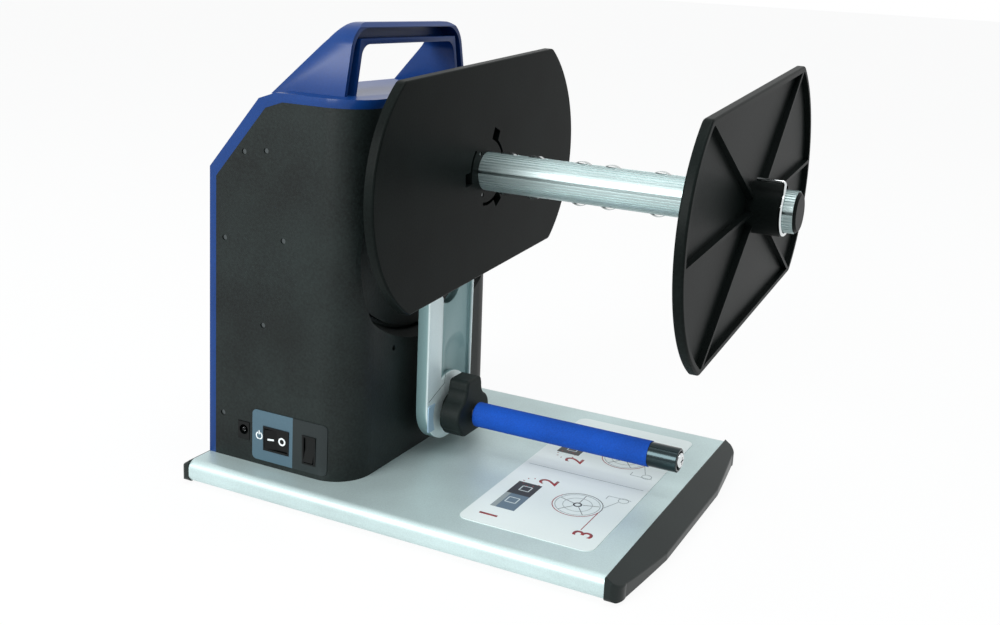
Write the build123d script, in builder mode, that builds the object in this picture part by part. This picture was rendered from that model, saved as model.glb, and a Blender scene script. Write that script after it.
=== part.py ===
from build123d import *
from math import acos, cos, degrees, hypot, pi, radians, sin, tan
import os

os.makedirs("parts", exist_ok=True)

# Benchtop label rewinder. Millimetres, +Z up, +X along the spindle away from the housing,
# -Y towards the side with the switches. The origin is on the bench under the base's middle.

# ---------------------------------------------------------------- driving dimensions
fit_gap = 0.05            # radial running clearance of a shaft in its bush or bearing
seat_gap = 0.2            # easy clearance of a part that drops into a seat

# base
foot_height = 2.0
foot_radius = 8.0
foot_inset = 22.0
plate_length = 268.0
plate_depth = 209.0
plate_thick = 13.6
plate_edge_radius = 5.0
plate_skin = 2.2
plate_edge_wall = 4.6
chamber_count = 10
chamber_corner = 1.0
cap_reach = 13.5
cap_corner_run = 3.5
cap_shoulder = 8.2
cap_shoulder_inset = 10.4
cap_flat_inset = 58.0
cap_edge = 1.6
cap_lip_height = 4.4
cap_lug_length = 14.0

# housing
housing_front = -33.3
housing_rear = -134.2
housing_half_base = 86.0
head_room = 42.75
side_draft = 0.0232
housing_corner = 22.0
shell_wall = 3.0
spine_band = 4.6
spine_top_band = 5.0
lip_depth = 16.0
lip_wall = 2.5
shoulder_drop = 46.0
shoulder_run = 34.5
shoulder_step = 4.0

# handle
handle_front = -52.5
handle_half_top = 57.7
handle_half_foot = 67.4
handle_rise = 40.0
handle_corner = 18.0
handle_band = 12.0
grip_corner = 8.0
groove_lip = 3.0
groove_depth = 11.0
handle_top_depth = 9.0
handle_mid_depth = 16.5
handle_foot_depth = 49.5
handle_shoulder = 10.0

# spindle and its bearings
spindle_height = 193.25
shaft_radius = 6.0
bearing_radius = 14.0
bearing_width = 8.0
journal_radius = 18.0
journal_tip = -12.0
carrier_shoulder_radius = 23.0
carrier_shoulder = -30.0
carrier_flange_radius = 34.0
carrier_flange_thick = 5.0
carrier_bolt_radius = 28.5

# recess round the arm's pivot
recess_sweep_radius = 106.3
recess_dish_radius = 74.0
recess_dish_drop = 48.25
recess_corner = 15.0
recess_depth = 9.7
recess_bevel = 4.8
recess_plate_thick = 3.0
recess_plate_gap = 0.4

# frame inside the housing
frame_sheet = 3.0
frame_front = -51.0
frame_rear = -104.0
frame_head_gap = 14.0
frame_wing_drop = 46.0
frame_rear_drop = 76.0
frame_wing_x = -80.0
plate_spacing = 16.0
module_size = 1.25
spindle_teeth = 48
pinion_teeth = 16
gear_width = 8.0
gear_backlash = 0.25
pressure_angle = 20.0
motor_radius = 18.0
motor_gearbox_length = 24.0
motor_can_length = 27.0
motor_shaft_radius = 3.0
spacer_radius = 4.0
spacer_spread = 38.0
spacer_rise = 18.0
spacer_margin = 8.0
screw_radius = 1.5
screw_head_radius = 2.8
screw_head_height = 1.8
motor_screw_circle = 13.0

# core tube and flanges
tube_radius = 11.5
tube_bore_radius = 4.6
tube_end = 188.0
tube_turn = -4.0
slot_mouth = 4.0
side_slot_mouth = 1.6
slot_lip = 1.4
slot_inner_width = 6.8
slot_depth = 4.4
flute_count = 40
flute_width = 0.8
flute_depth = 0.45
leaf_width = 3.4
leaf_thick = 0.45
leaf_count = 3
leaf_pitch = 47.8
leaf_first = 15.6
bow_pitch = 18.0
bow_half_length = 7.0
bow_proud = 1.3
flange_half_length = 120.0
flange_half_height = 63.4
flange_end_radius = 78.0
flange_corner = 6.0
flange_rim_thick = 5.5
flange_plate = 2.4
flange_rim_width = 3.2
inner_flange_face = 2.6
inner_flange_turn = 3.9
outer_flange_face = 160.9
outer_flange_turn = 5.6
drive_disc_radius = 17.5
drive_disc_thick = 4.0
drive_screw_circle = 14.6
hub_radius = 14.0
hub_length = 20.1
rib_crest = 6.4
flange_edge = 1.2
hub_disc_radius = 30.0
window_circle = 22.5
window_angle = 66.0
window_size = 7.5
window_slot_circle = 19.8
window_slot_width = 2.0
window_slot_turn = 46.0
window_depth = 4.4
rib_thick = 2.0
clip_wire_radius = 0.9
clip_sweep = 195.0

# tension arm, roller and knob
arm_front = -18.0
arm_thick = 8.0
arm_half_width = 26.5
arm_hub_radius = 32.0
arm_end_corner = 24.0
arm_foot_reach = 18.2
arm_window_drop = 71.25
arm_window_radius = 13.6
arm_swing = 30.0
arm_ledge_edge = -11.0
arm_rim_width = 1.6
arm_trough_depth = 2.6
arm_trough_slope = 5.0
arm_boss_radius = 24.0
arch_middle = 9.5
arch_half_width = 13.6
arch_rise = 47.5
arch_depth = 2.6
bullet_middle = 11.5
bullet_half_width = 7.5
bullet_rise = 39.5
pad_length = 17.0
pad_width = 9.0
pad_thick = 0.8
bush_wall = 3.0
stop_radius = 40.0
stop_pin_radius = 2.5
roller_height = 40.0
roller_radius = 7.7
roller_tube_radius = 5.4
roller_start = 2.4
roller_foam_end = 117.6
roller_end = 135.6
roller_collar_radius = 7.2
stud_radius = 3.0
stud_screw_radius = 4.6
knob_back = -13.0
knob_front = 0.0
knob_top = 22.6
knob_top_half = 8.2
knob_waist_half = 10.7
knob_waist_rise = 12.6
knob_wing_reach = 19.6
knob_wing_drop = 7.6
knob_foot_drop = 12.8
knob_foot_half = 8.8
knob_corner = 3.0
knob_edge = 1.8
knob_bore_gap = 0.1

# switches on the near side
panel_left = -101.7
panel_right = -48.8
panel_low = 18.8
panel_high = 49.6
panel_thick = 0.5
power_x = -84.3
power_z = 33.0
power_length = 15.4
power_width = 12.0
power_tilt = 7.0
direction_x = -60.8
direction_z = 32.2
direction_length = 14.5
direction_width = 6.3
direction_tilt = 6.0
bezel_rim = 1.6
bezel_proud = 0.9
switch_depth = 17.0
rocker_gap = 0.35
jack_x = -108.3
jack_z = 34.5
jack_width = 8.4
jack_height = 11.0
jack_depth = 14.0
jack_pin_radius = 1.0

# ---------------------------------------------------------------- derived places
base_top = foot_height + plate_thick
housing_top = spindle_height + head_room
housing_height = housing_top - base_top
plate_end = plate_length / 2
recess_floor = housing_front - recess_depth
drive_face = inner_flange_face - flange_rim_thick
arm_reach = spindle_height - roller_height
gear_distance = module_size * (spindle_teeth + pinion_teeth) / 2
motor_height = spindle_height - gear_distance
frame_back_face = frame_front - frame_sheet
motor_plate_front = frame_back_face - plate_spacing
motor_plate_rear = motor_plate_front - frame_sheet
gear_front = frame_back_face - (plate_spacing - gear_width) / 2
arm_back = arm_front - arm_thick
screw_clearance = 0.15
spacer_drop = gear_distance + motor_radius + spacer_margin
spacer_places = [(y, z) for y in (-spacer_spread, spacer_spread) for z in (spacer_rise, -spacer_drop)]


def half_width(height, inset=0.0):
    """Half the housing's width at a height, with the side walls' draft."""
    return housing_half_base - side_draft * (height - base_top) - inset


def housing_section(height, inset, front, rear, corner):
    """One plan section of the housing, square behind and round at the front corners."""
    with BuildSketch(Plane.XY.offset(height)) as section:
        with Locations(((front + rear) / 2, 0)):
            Rectangle(front - rear, 2 * half_width(height, inset))
        fillet(section.vertices().group_by(Axis.X)[-1], corner)
    return section.sketch


def housing_sections(inset, front, rear, corner, top=None):
    """The lowest and highest plan sections of a shell whose walls follow the housing's draft."""
    return [
        housing_section(base_top, inset, front, rear, corner),
        housing_section(top or housing_top, inset, front, rear, corner),
    ]


def side_outline(inset, rear, top):
    """The housing's side view: upright back, chamfered shoulder and flat top, in the XZ plane."""
    with BuildSketch() as outline:
        with BuildLine():
            Polyline(
                (housing_front + 1, base_top - 1),
                (rear, base_top - 1),
                (rear, top - shoulder_drop + inset),
                (rear + shoulder_run - inset, top - shoulder_step),
                (rear + shoulder_drop, top),
                (housing_front + 1, top),
                close=True,
            )
        make_face()
    return outline.sketch


def recess_outline(grow, corner):
    """The dished recess: a circle cut off below by an arc about the spindle, in the YZ plane."""
    with BuildSketch() as outline:
        with Locations((0, spindle_height - recess_dish_drop)):
            Circle(recess_dish_radius + grow)
        with Locations((0, spindle_height)):
            Circle(recess_sweep_radius + grow, mode=Mode.INTERSECT)
        offset(amount=-corner, kind=Kind.INTERSECTION, mode=Mode.REPLACE)
        offset(amount=corner, kind=Kind.ARC, mode=Mode.REPLACE)
    return outline.sketch


def flange_plane(face, turn):
    """A plane square to the spindle at a face, its x direction along the flange."""
    angle = radians(turn)
    return Plane(origin=(face, 0, spindle_height), x_dir=(0, cos(angle), sin(angle)), z_dir=(1, 0, 0))


def flange_outline(inset, rounding):
    """A flange's outline: two flats and two round ends."""
    half = flange_half_length - inset
    flat = flange_half_height - inset
    radius = flange_end_radius - inset
    corner = half - radius + (radius**2 - flat**2) ** 0.5
    with BuildSketch() as outline:
        with BuildLine():
            Line((-corner, flat), (corner, flat))
            ThreePointArc((corner, flat), (half, 0), (corner, -flat))
            Line((corner, -flat), (-corner, -flat))
            ThreePointArc((-corner, -flat), (-half, 0), (-corner, flat))
        make_face()
        fillet(outline.vertices(), rounding)
    return outline.sketch


def gear_outline(teeth, phase):
    """A spur gear's outline with straight-sided facets on true involute flanks."""
    pitch = module_size * teeth / 2
    base = pitch * cos(radians(pressure_angle))
    root = pitch - 1.25 * module_size
    tip = pitch + module_size
    involute = tan(radians(pressure_angle)) - radians(pressure_angle)
    half_pitch = pi / 2 / teeth - gear_backlash / 2 / pitch
    points = []
    for tooth in range(teeth):
        middle = 2 * pi * tooth / teeth + radians(phase)
        flank = []
        for radius in (root, max(base, root + 0.1), pitch, tip):
            roll = acos(min(1.0, base / radius))
            flank.append((radius, half_pitch + involute - (tan(roll) - roll)))
        for radius, angle in flank:
            points.append((radius * cos(middle - angle), radius * sin(middle - angle)))
        for radius, angle in reversed(flank):
            points.append((radius * cos(middle + angle), radius * sin(middle + angle)))
    with BuildSketch() as outline:
        with BuildLine():
            Polyline(*points, close=True)
        make_face()
    return outline.sketch


def spindle_plane(station):
    """A plane square to the spindle at a station along X, centred on the spindle."""
    return Plane(origin=(station, 0, spindle_height), x_dir=(0, 1, 0), z_dir=(1, 0, 0))


def roller_plane(station):
    """A plane square to the roller's axis at a station along X."""
    return Plane(origin=(station, 0, roller_height), x_dir=(0, 1, 0), z_dir=(1, 0, 0))


def save(builder, name):
    """Label a finished piece and write it."""
    builder.part.label = name
    export_step(builder.part, f"parts/{name}.step")


# ---------------------------------------------------------------- base plate
# Aluminium extrusion: chambers run along X between the two skins, and the long edges are round.
chamber_web = plate_skin
chamber_pitch = (plate_depth - 2 * plate_edge_wall + chamber_web) / chamber_count
chamber_width = chamber_pitch - chamber_web
chamber_height = plate_thick - 2 * plate_skin
plate_middle = foot_height + plate_thick / 2
base_screw_x = (frame_rear + 8, frame_front - 9)
base_screw_y = 2.5 * chamber_pitch
base_screw_places = [(x, y) for x in base_screw_x for y in (-base_screw_y, base_screw_y)]
base_screw_radius = 2.0
base_screw_head = 3.6
base_screw_head_height = 2.6

with BuildPart() as base_plate:
    with BuildSketch(Plane.YZ.offset(-plate_end)):
        with Locations((0, plate_middle)):
            RectangleRounded(plate_depth, plate_thick, plate_edge_radius)
            with GridLocations(chamber_pitch, 0, chamber_count, 1):
                RectangleRounded(chamber_width, chamber_height, chamber_corner, mode=Mode.SUBTRACT)
    extrude(amount=plate_length)
    with Locations(*[(x, y, foot_height + plate_skin / 2) for x, y in base_screw_places]):
        Cylinder(base_screw_head + 0.8, plate_skin + 1, mode=Mode.SUBTRACT)
    with Locations(*[(x, y, base_top - plate_skin / 2) for x, y in base_screw_places]):
        Cylinder(base_screw_radius + screw_clearance, plate_skin + 1, mode=Mode.SUBTRACT)
save(base_plate, "base_plate")

# ---------------------------------------------------------------- end caps
# Moulded caps with lugs that push into the plate's chambers; the top slopes down to the lip.
for side, name in ((1, "base_end_cap_right"), (-1, "base_end_cap_left")):
    half_depth = plate_depth / 2
    with BuildPart() as end_cap:
        with BuildSketch(Plane.XY.offset(foot_height)):
            with BuildLine():
                near = Line((plate_end, -half_depth), (plate_end + cap_corner_run, -half_depth))
                turn = ThreePointArc(
                    near @ 1,
                    (plate_end + cap_shoulder - 1.2, -half_depth + 3.6),
                    (plate_end + cap_shoulder, -half_depth + cap_shoulder_inset),
                )
                bow = ThreePointArc(
                    turn @ 1,
                    (plate_end + 0.84 * cap_reach, -half_depth + 0.64 * cap_flat_inset),
                    (plate_end + cap_reach, -half_depth + cap_flat_inset),
                )
                Line(bow @ 1, (plate_end + cap_reach, 0))
                Line((plate_end + cap_reach, 0), (plate_end, 0))
                Line((plate_end, 0), (plate_end, -half_depth))
            make_face()
            mirror(about=Plane.XZ)
        extrude(amount=plate_thick)
        with BuildSketch(Plane.XZ) as slope:
            with BuildLine():
                Polyline(
                    (plate_end + 0.6, base_top),
                    (plate_end + cap_reach, foot_height + cap_lip_height),
                    (plate_end + cap_reach + 5, foot_height + cap_lip_height),
                    (plate_end + cap_reach + 5, base_top + 5),
                    (plate_end + 0.6, base_top + 5),
                    close=True,
                )
            make_face()
        extrude(amount=half_depth + 1, both=True, mode=Mode.SUBTRACT)
        long_edges = end_cap.edges().filter_by(GeomType.LINE).filter_by(Axis.X)
        fillet(long_edges.group_by(Axis.Z)[0], cap_corner_run - 0.5)
        sloping = end_cap.faces().filter_by(lambda f: f.normal_at().X > 0.2 and f.normal_at().Z > 0.2)
        rim_edges = sloping.sort_by(SortBy.AREA)[-1].edges().sort_by(Axis.X)[1:]
        fillet(rim_edges, cap_edge)
        with BuildSketch(Plane.YZ.offset(plate_end)):
            with Locations((0, plate_middle)):
                with GridLocations(5 * chamber_pitch, 0, 2, 1):
                    RectangleRounded(
                        chamber_width - 2 * seat_gap, chamber_height - 2 * seat_gap, chamber_corner
                    )
        extrude(amount=-cap_lug_length)
        if side < 0:
            mirror(about=Plane.YZ, mode=Mode.REPLACE)
    save(end_cap, name)

# ---------------------------------------------------------------- rubber feet
with BuildPart() as rubber_feet:
    with BuildSketch():
        with GridLocations(plate_length - 2 * foot_inset, plate_depth - 2 * foot_inset, 2, 2):
            Circle(foot_radius)
    extrude(amount=foot_height)
    chamfer(rubber_feet.edges().group_by(Axis.Z)[0], 0.6)
save(rubber_feet, "rubber_feet")

# ---------------------------------------------------------------- base screws
with BuildPart() as base_screws:
    screw_head_top = base_top - plate_skin
    with Locations(*[(x, y, screw_head_top - base_screw_head_height / 2) for x, y in base_screw_places]):
        Cylinder(base_screw_head, base_screw_head_height)
    with Locations(*[(x, y, screw_head_top + (plate_skin + frame_sheet) / 2) for x, y in base_screw_places]):
        Cylinder(base_screw_radius, plate_skin + frame_sheet)
save(base_screws, "base_screws")

# ---------------------------------------------------------------- threading label
label_thick = 0.3
label_left = 37.0
label_right = 118.0
label_near = -84.8
label_far = 87.0
with BuildPart() as threading_label:
    with BuildSketch(Plane.XY.offset(base_top)):
        with Locations(((label_left + label_right) / 2, (label_near + label_far) / 2)):
            RectangleRounded(label_right - label_left, label_far - label_near, 6)
    extrude(amount=label_thick)
save(threading_label, "threading_label")

# ---------------------------------------------------------------- housing envelope
with BuildPart() as envelope:
    loft(housing_sections(0, housing_front, housing_rear, housing_corner))

with BuildPart() as cavity:
    loft(
        housing_sections(
            shell_wall, housing_front - shell_wall, housing_rear - 5, housing_corner - shell_wall
        )
    )

# The tub is the moulded pocket behind the front wall that the recess is sunk into.
with BuildPart() as recess_tub:
    with BuildSketch(Plane.YZ.offset(recess_floor - shell_wall)):
        add(recess_outline(shell_wall - recess_bevel / 2, recess_corner))
    extrude(amount=recess_depth + shell_wall)
    add(envelope.part, mode=Mode.INTERSECT)

# ---------------------------------------------------------------- housing shell
# Black U-shaped shell, open behind, above and below. Screws go through its side walls.
shell_rear = housing_rear + spine_band
shell_top = housing_top - spine_top_band
side_screws = [
    (-109.6, housing_top - 35.0),
    (-94.2, housing_top - 33.0),
    (-123.3, housing_top - 86.5),
    (-81.7, housing_top - 82.8),
    (-95.3, base_top + 85.9),
    (-124.1, base_top + 26.8),
]
side_screw_radius = 1.5
front_screws = [(-41.2, base_top + 72.1), (41.2, base_top + 72.1)]
panel_middle = ((panel_left + panel_right) / 2, (panel_low + panel_high) / 2)

with BuildPart() as housing_shell:
    add(envelope.part)
    with BuildSketch(Plane.XZ):
        add(side_outline(0, shell_rear, shell_top))
    extrude(amount=housing_half_base + 5, both=True, mode=Mode.INTERSECT)
    add(cavity.part, mode=Mode.SUBTRACT)
    add(recess_tub.part)
    with BuildSketch(Plane.YZ.offset(housing_front + 0.5)):
        add(recess_outline(0, recess_corner))
    with BuildSketch(Plane.YZ.offset(recess_floor)):
        add(recess_outline(-recess_bevel, recess_corner - recess_bevel / 2))
    loft(mode=Mode.SUBTRACT)
    with BuildSketch(spindle_plane(recess_floor - shell_wall - 1)):
        Circle(carrier_shoulder_radius + 0.3)
    extrude(amount=recess_depth + shell_wall + 2, mode=Mode.SUBTRACT)
    # openings for the switches and the power inlet in the near wall
    with BuildSketch(Plane.XZ.offset(housing_half_base - 2 * shell_wall)):
        with Locations((power_x, power_z)):
            Rectangle(power_length + 2 * bezel_rim, power_width + 2 * bezel_rim)
        with Locations((direction_x, direction_z)):
            Rectangle(direction_width + 2 * bezel_rim, direction_length + 2 * bezel_rim)
        with Locations((jack_x, jack_z)):
            Rectangle(jack_width + 2 * seat_gap, jack_height + 2 * seat_gap)
    extrude(amount=4 * shell_wall, mode=Mode.SUBTRACT)
    # holes for the side screws and the front screws
    with BuildSketch(Plane.XZ.offset(-housing_half_base - 1)):
        with Locations(*side_screws):
            Circle(side_screw_radius + screw_clearance)
    extrude(amount=2 * housing_half_base + 2, mode=Mode.SUBTRACT)
    with BuildSketch(Plane.YZ.offset(housing_front - shell_wall - 1)):
        with Locations(*front_screws):
            Circle(side_screw_radius + screw_clearance)
    extrude(amount=shell_wall + 2, mode=Mode.SUBTRACT)
save(housing_shell, "housing_shell")

# ---------------------------------------------------------------- spine cover with handle
with BuildPart() as lips:
    for inset, role in ((shell_wall + seat_gap, Mode.ADD), (shell_wall + seat_gap + lip_wall, Mode.SUBTRACT)):
        loft(
            housing_sections(inset, housing_front - inset, housing_rear - 5, housing_corner - inset),
            mode=role,
        )
    with BuildSketch(Plane.XZ):
        add(side_outline(0, shell_rear, shell_top))
    extrude(amount=housing_half_base + 5, both=True, mode=Mode.INTERSECT)
    with BuildSketch(Plane.XZ):
        add(side_outline(0.4 * lip_depth, shell_rear + lip_depth, shell_top - lip_depth))
    extrude(amount=housing_half_base + 5, both=True, mode=Mode.SUBTRACT)
    with Locations((housing_front - 5, 0, (base_top + housing_top) / 2)):
        Box(2 * (housing_front + 83), 2 * housing_half_base, housing_height + 2, mode=Mode.SUBTRACT)

with BuildPart() as handle:
    with BuildSketch(Plane.YZ.offset(handle_front)) as arch:
        handle_foot = housing_top - spine_top_band / 2
        with BuildLine():
            Polyline(
                (-handle_half_foot, handle_foot),
                (-handle_half_top, housing_top + handle_rise),
                (handle_half_top, housing_top + handle_rise),
                (handle_half_foot, handle_foot),
                close=True,
            )
        make_face()
        fillet(arch.vertices().group_by(Axis.Y)[-1], handle_corner)
    extrude(amount=-handle_foot_depth)
    with BuildSketch(Plane.XZ) as handle_side:
        with BuildLine():
            Polyline(
                (handle_front, handle_foot),
                (handle_front, housing_top + handle_rise - 2.5),
                (handle_front - 2.5, housing_top + handle_rise),
                (handle_front - handle_top_depth, housing_top + handle_rise),
                (handle_front - handle_mid_depth, housing_top + handle_rise - handle_shoulder),
                (handle_front - handle_foot_depth, handle_foot),
                close=True,
            )
        make_face()
        fillet(handle_side.vertices().group_by(Axis.Y)[-1].sort_by(Axis.X)[0], 4)
    extrude(amount=handle_half_foot + 5, both=True, mode=Mode.INTERSECT)
    with BuildSketch(Plane.YZ.offset(handle_front + 1)) as grip_gap:
        grip_top = housing_top + handle_rise - handle_band
        with BuildLine():
            Polyline(
                (-handle_half_foot + handle_band, housing_top),
                (-handle_half_top + handle_band * 0.7, grip_top),
                (handle_half_top - handle_band * 0.7, grip_top),
                (handle_half_foot - handle_band, housing_top),
                close=True,
            )
        make_face()
        fillet(grip_gap.vertices().group_by(Axis.Y)[-1], grip_corner)
    extrude(amount=-handle_foot_depth - 2, mode=Mode.SUBTRACT)
    # the front of the handle is an open channel between two lips
    with BuildSketch(Plane.YZ.offset(handle_front)) as groove:
        with BuildLine():
            Polyline(
                (-handle_half_foot + groove_lip, housing_top),
                (-handle_half_top + 0.8 * groove_lip, housing_top + handle_rise - groove_lip),
                (handle_half_top - 0.8 * groove_lip, housing_top + handle_rise - groove_lip),
                (handle_half_foot - groove_lip, housing_top),
                close=True,
            )
        make_face()
        fillet(groove.vertices().group_by(Axis.Y)[-1], handle_corner - groove_lip)
        inner_half_foot = handle_half_foot - handle_band + groove_lip
        inner_half_top = handle_half_top - handle_band * 0.7 + groove_lip * 0.8
        with BuildLine():
            Polyline(
                (-inner_half_foot, housing_top - 1),
                (-inner_half_top, grip_top + groove_lip),
                (inner_half_top, grip_top + groove_lip),
                (inner_half_foot, housing_top - 1),
                close=True,
            )
        make_face(mode=Mode.SUBTRACT)
    extrude(amount=-groove_depth, mode=Mode.SUBTRACT)

with BuildPart() as spine_cover:
    add(envelope.part)
    with BuildSketch(Plane.XZ):
        add(side_outline(0, housing_rear, housing_top))
    extrude(amount=housing_half_base + 5, both=True, mode=Mode.INTERSECT)
    with BuildSketch(Plane.XZ):
        add(side_outline(0, shell_rear, shell_top))
    extrude(amount=housing_half_base + 5, both=True, mode=Mode.SUBTRACT)
    add(lips.part)
    add(handle.part)
    with BuildSketch(Plane.XZ.offset(-housing_half_base - 1)):
        with Locations(*side_screws):
            Circle(side_screw_radius)
    extrude(amount=2 * housing_half_base + 2, mode=Mode.SUBTRACT)
save(spine_cover, "spine_cover")

# ---------------------------------------------------------------- housing screws
with BuildPart() as housing_screws:
    for x, z in side_screws:
        face = half_width(z)
        for side in (-1, 1):
            screw_plane = Plane(origin=(x, side * (face - 0.6), z), x_dir=(1, 0, 0), z_dir=(0, -side, 0))
            with BuildSketch(screw_plane):
                Circle(side_screw_radius)
            extrude(amount=shell_wall + lip_wall)
save(housing_screws, "housing_screws")

# ---------------------------------------------------------------- recess plate
# Plate on the recess floor with the arc slot that the arm's stop pin runs in.
with BuildPart() as recess_plate:
    with BuildSketch(Plane.YZ.offset(recess_floor)):
        add(recess_outline(-recess_bevel - recess_plate_gap - 1.5, recess_corner - recess_bevel))
        with Locations((0, spindle_height)):
            Circle(carrier_shoulder_radius + 0.3, mode=Mode.SUBTRACT)
    extrude(amount=recess_plate_thick)
    with BuildSketch(spindle_plane(recess_floor)):
        with BuildLine(mode=Mode.PRIVATE) as stop_arc:
            CenterArc((0, 0), stop_radius, -90 - arm_swing, 2 * arm_swing)
        SlotArc(stop_arc.edge(), 2 * (stop_pin_radius + 0.5))
    extrude(amount=recess_plate_thick, mode=Mode.SUBTRACT)
save(recess_plate, "recess_plate")

# ---------------------------------------------------------------- chassis frame
# Folded steel channel on the base: front web, two side flanges and a floor.
frame_inset = shell_wall + 0.3
with BuildPart() as chassis_frame:
    for front, inset, role in (
        (frame_front, frame_inset, Mode.ADD),
        (frame_back_face, frame_inset + frame_sheet, Mode.SUBTRACT),
    ):
        rear = frame_rear if role == Mode.ADD else frame_rear - 1
        bend = 5 if role == Mode.ADD else 2
        loft(housing_sections(inset, front, rear, bend, housing_top - frame_head_gap), mode=role)
    with BuildSketch(Plane.XZ):
        with BuildLine():
            Polyline(
                (frame_front + 1, base_top - 1),
                (frame_rear - 1, base_top - 1),
                (frame_rear - 1, housing_top - frame_rear_drop),
                (frame_wing_x, housing_top - frame_wing_drop),
                (frame_wing_x, housing_top),
                (frame_front + 1, housing_top),
                close=True,
            )
        make_face()
    extrude(amount=housing_half_base, both=True, mode=Mode.INTERSECT)
    floor_half = half_width(base_top, frame_inset + 1)
    with Locations(((frame_front + frame_rear) / 2, 0, base_top + frame_sheet / 2)):
        Box(frame_front - frame_rear, 2 * floor_half, frame_sheet)
    with Locations(*[(x, y, base_top + frame_sheet / 2) for x, y in base_screw_places]):
        Cylinder(base_screw_radius, frame_sheet + 1, mode=Mode.SUBTRACT)
    # the bearing carrier's pilot hole and its screw holes
    with BuildSketch(spindle_plane(frame_back_face - 1)):
        Circle(bearing_radius + 1)
        with PolarLocations(carrier_bolt_radius, 4, 45):
            Circle(screw_radius)
        with Locations(*spacer_places):
            Circle(screw_radius)
    extrude(amount=frame_sheet + 2, mode=Mode.SUBTRACT)
    # window in the near flange behind the switches
    with Locations(((panel_left + panel_right) / 2 - 4, -housing_half_base, (panel_low + panel_high) / 2 + 2)):
        Box(panel_right - panel_left + 22, 30, panel_high - panel_low + 1, mode=Mode.SUBTRACT)
    with BuildSketch(Plane.XZ.offset(-housing_half_base - 1)):
        with Locations(*side_screws[3:5]):
            Circle(side_screw_radius)
    extrude(amount=2 * housing_half_base + 2, mode=Mode.SUBTRACT)
save(chassis_frame, "chassis_frame")

# ---------------------------------------------------------------- bearing carrier
with BuildPart() as bearing_carrier:
    with BuildSketch(spindle_plane(frame_front)):
        Circle(carrier_flange_radius)
    extrude(amount=carrier_flange_thick)
    with BuildSketch(spindle_plane(frame_front)):
        Circle(carrier_shoulder_radius)
    extrude(amount=carrier_shoulder - frame_front)
    with BuildSketch(spindle_plane(carrier_shoulder)):
        Circle(journal_radius)
    extrude(amount=journal_tip - carrier_shoulder)
    with BuildSketch(spindle_plane(frame_front)):
        Circle(bearing_radius - 2)
    extrude(amount=journal_tip - frame_front, mode=Mode.SUBTRACT)
    for seat in (frame_front, journal_tip - 1 - bearing_width):
        with BuildSketch(spindle_plane(seat)):
            Circle(bearing_radius)
        extrude(amount=bearing_width if seat == frame_front else bearing_width + 1, mode=Mode.SUBTRACT)
    with BuildSketch(spindle_plane(journal_tip - 4.4)):
        Circle(journal_radius + 1)
        Circle(journal_radius - 1, mode=Mode.SUBTRACT)
    extrude(amount=1.4, mode=Mode.SUBTRACT)
    with BuildSketch(spindle_plane(frame_front)):
        with PolarLocations(carrier_bolt_radius, 4, 45):
            Circle(screw_radius)
    extrude(amount=carrier_flange_thick, mode=Mode.SUBTRACT)
save(bearing_carrier, "bearing_carrier")

with BuildPart() as carrier_screws:
    with BuildSketch(spindle_plane(frame_back_face)):
        with PolarLocations(carrier_bolt_radius, 4, 45):
            Circle(screw_radius)
    extrude(amount=frame_sheet + carrier_flange_thick - 0.5)
    with BuildSketch(spindle_plane(frame_back_face - screw_head_height)):
        with PolarLocations(carrier_bolt_radius, 4, 45):
            Circle(screw_head_radius)
    extrude(amount=screw_head_height)
save(carrier_screws, "carrier_screws")

with BuildPart() as spindle_bearings:
    for seat in (frame_front, journal_tip - 1 - bearing_width):
        with BuildSketch(spindle_plane(seat)):
            Circle(bearing_radius)
            Circle(shaft_radius + fit_gap, mode=Mode.SUBTRACT)
        extrude(amount=bearing_width)
save(spindle_bearings, "spindle_bearings")

with BuildPart() as arm_retaining_ring:
    with BuildSketch(spindle_plane(journal_tip - 4.3)):
        Circle(journal_radius + bush_wall + 1)
        Circle(journal_radius - 0.9, mode=Mode.SUBTRACT)
        with Locations((0, journal_radius)):
            Rectangle(6, 14, mode=Mode.SUBTRACT)
    extrude(amount=1.2)
save(arm_retaining_ring, "arm_retaining_ring")

# ---------------------------------------------------------------- gear motor and its plate
with BuildPart() as motor_plate:
    with BuildSketch(spindle_plane(motor_plate_rear)):
        with Locations((0, (spacer_rise - spacer_drop) / 2)):
            RectangleRounded(
                2 * (spacer_spread + spacer_margin), spacer_rise + spacer_drop + 2 * spacer_margin, 6
            )
        with Locations((0, -gear_distance)):
            Circle(motor_shaft_radius + 4, mode=Mode.SUBTRACT)
            with PolarLocations(motor_screw_circle, 4, 45):
                Circle(screw_radius, mode=Mode.SUBTRACT)
        Circle(shaft_radius + 4, mode=Mode.SUBTRACT)
        with Locations(*spacer_places):
            Circle(screw_radius, mode=Mode.SUBTRACT)
    extrude(amount=frame_sheet)
save(motor_plate, "motor_plate")

with BuildPart() as gearbox_spacers:
    with BuildSketch(spindle_plane(motor_plate_front)):
        with Locations(*spacer_places):
            Circle(spacer_radius)
            Circle(screw_radius, mode=Mode.SUBTRACT)
    extrude(amount=plate_spacing)
save(gearbox_spacers, "gearbox_spacers")

with BuildPart() as spacer_screws:
    with BuildSketch(spindle_plane(motor_plate_rear)):
        with Locations(*spacer_places):
            Circle(screw_radius)
    extrude(amount=frame_sheet + plate_spacing + frame_sheet)
    with BuildSketch(spindle_plane(motor_plate_rear - screw_head_height)):
        with Locations(*spacer_places):
            Circle(screw_head_radius)
    extrude(amount=screw_head_height)
save(spacer_screws, "spacer_screws")


def motor_axis_plane(station):
    """A plane square to the motor's axis at a station along X."""
    return Plane(origin=(station, 0, motor_height), x_dir=(0, 1, 0), z_dir=(1, 0, 0))


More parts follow.
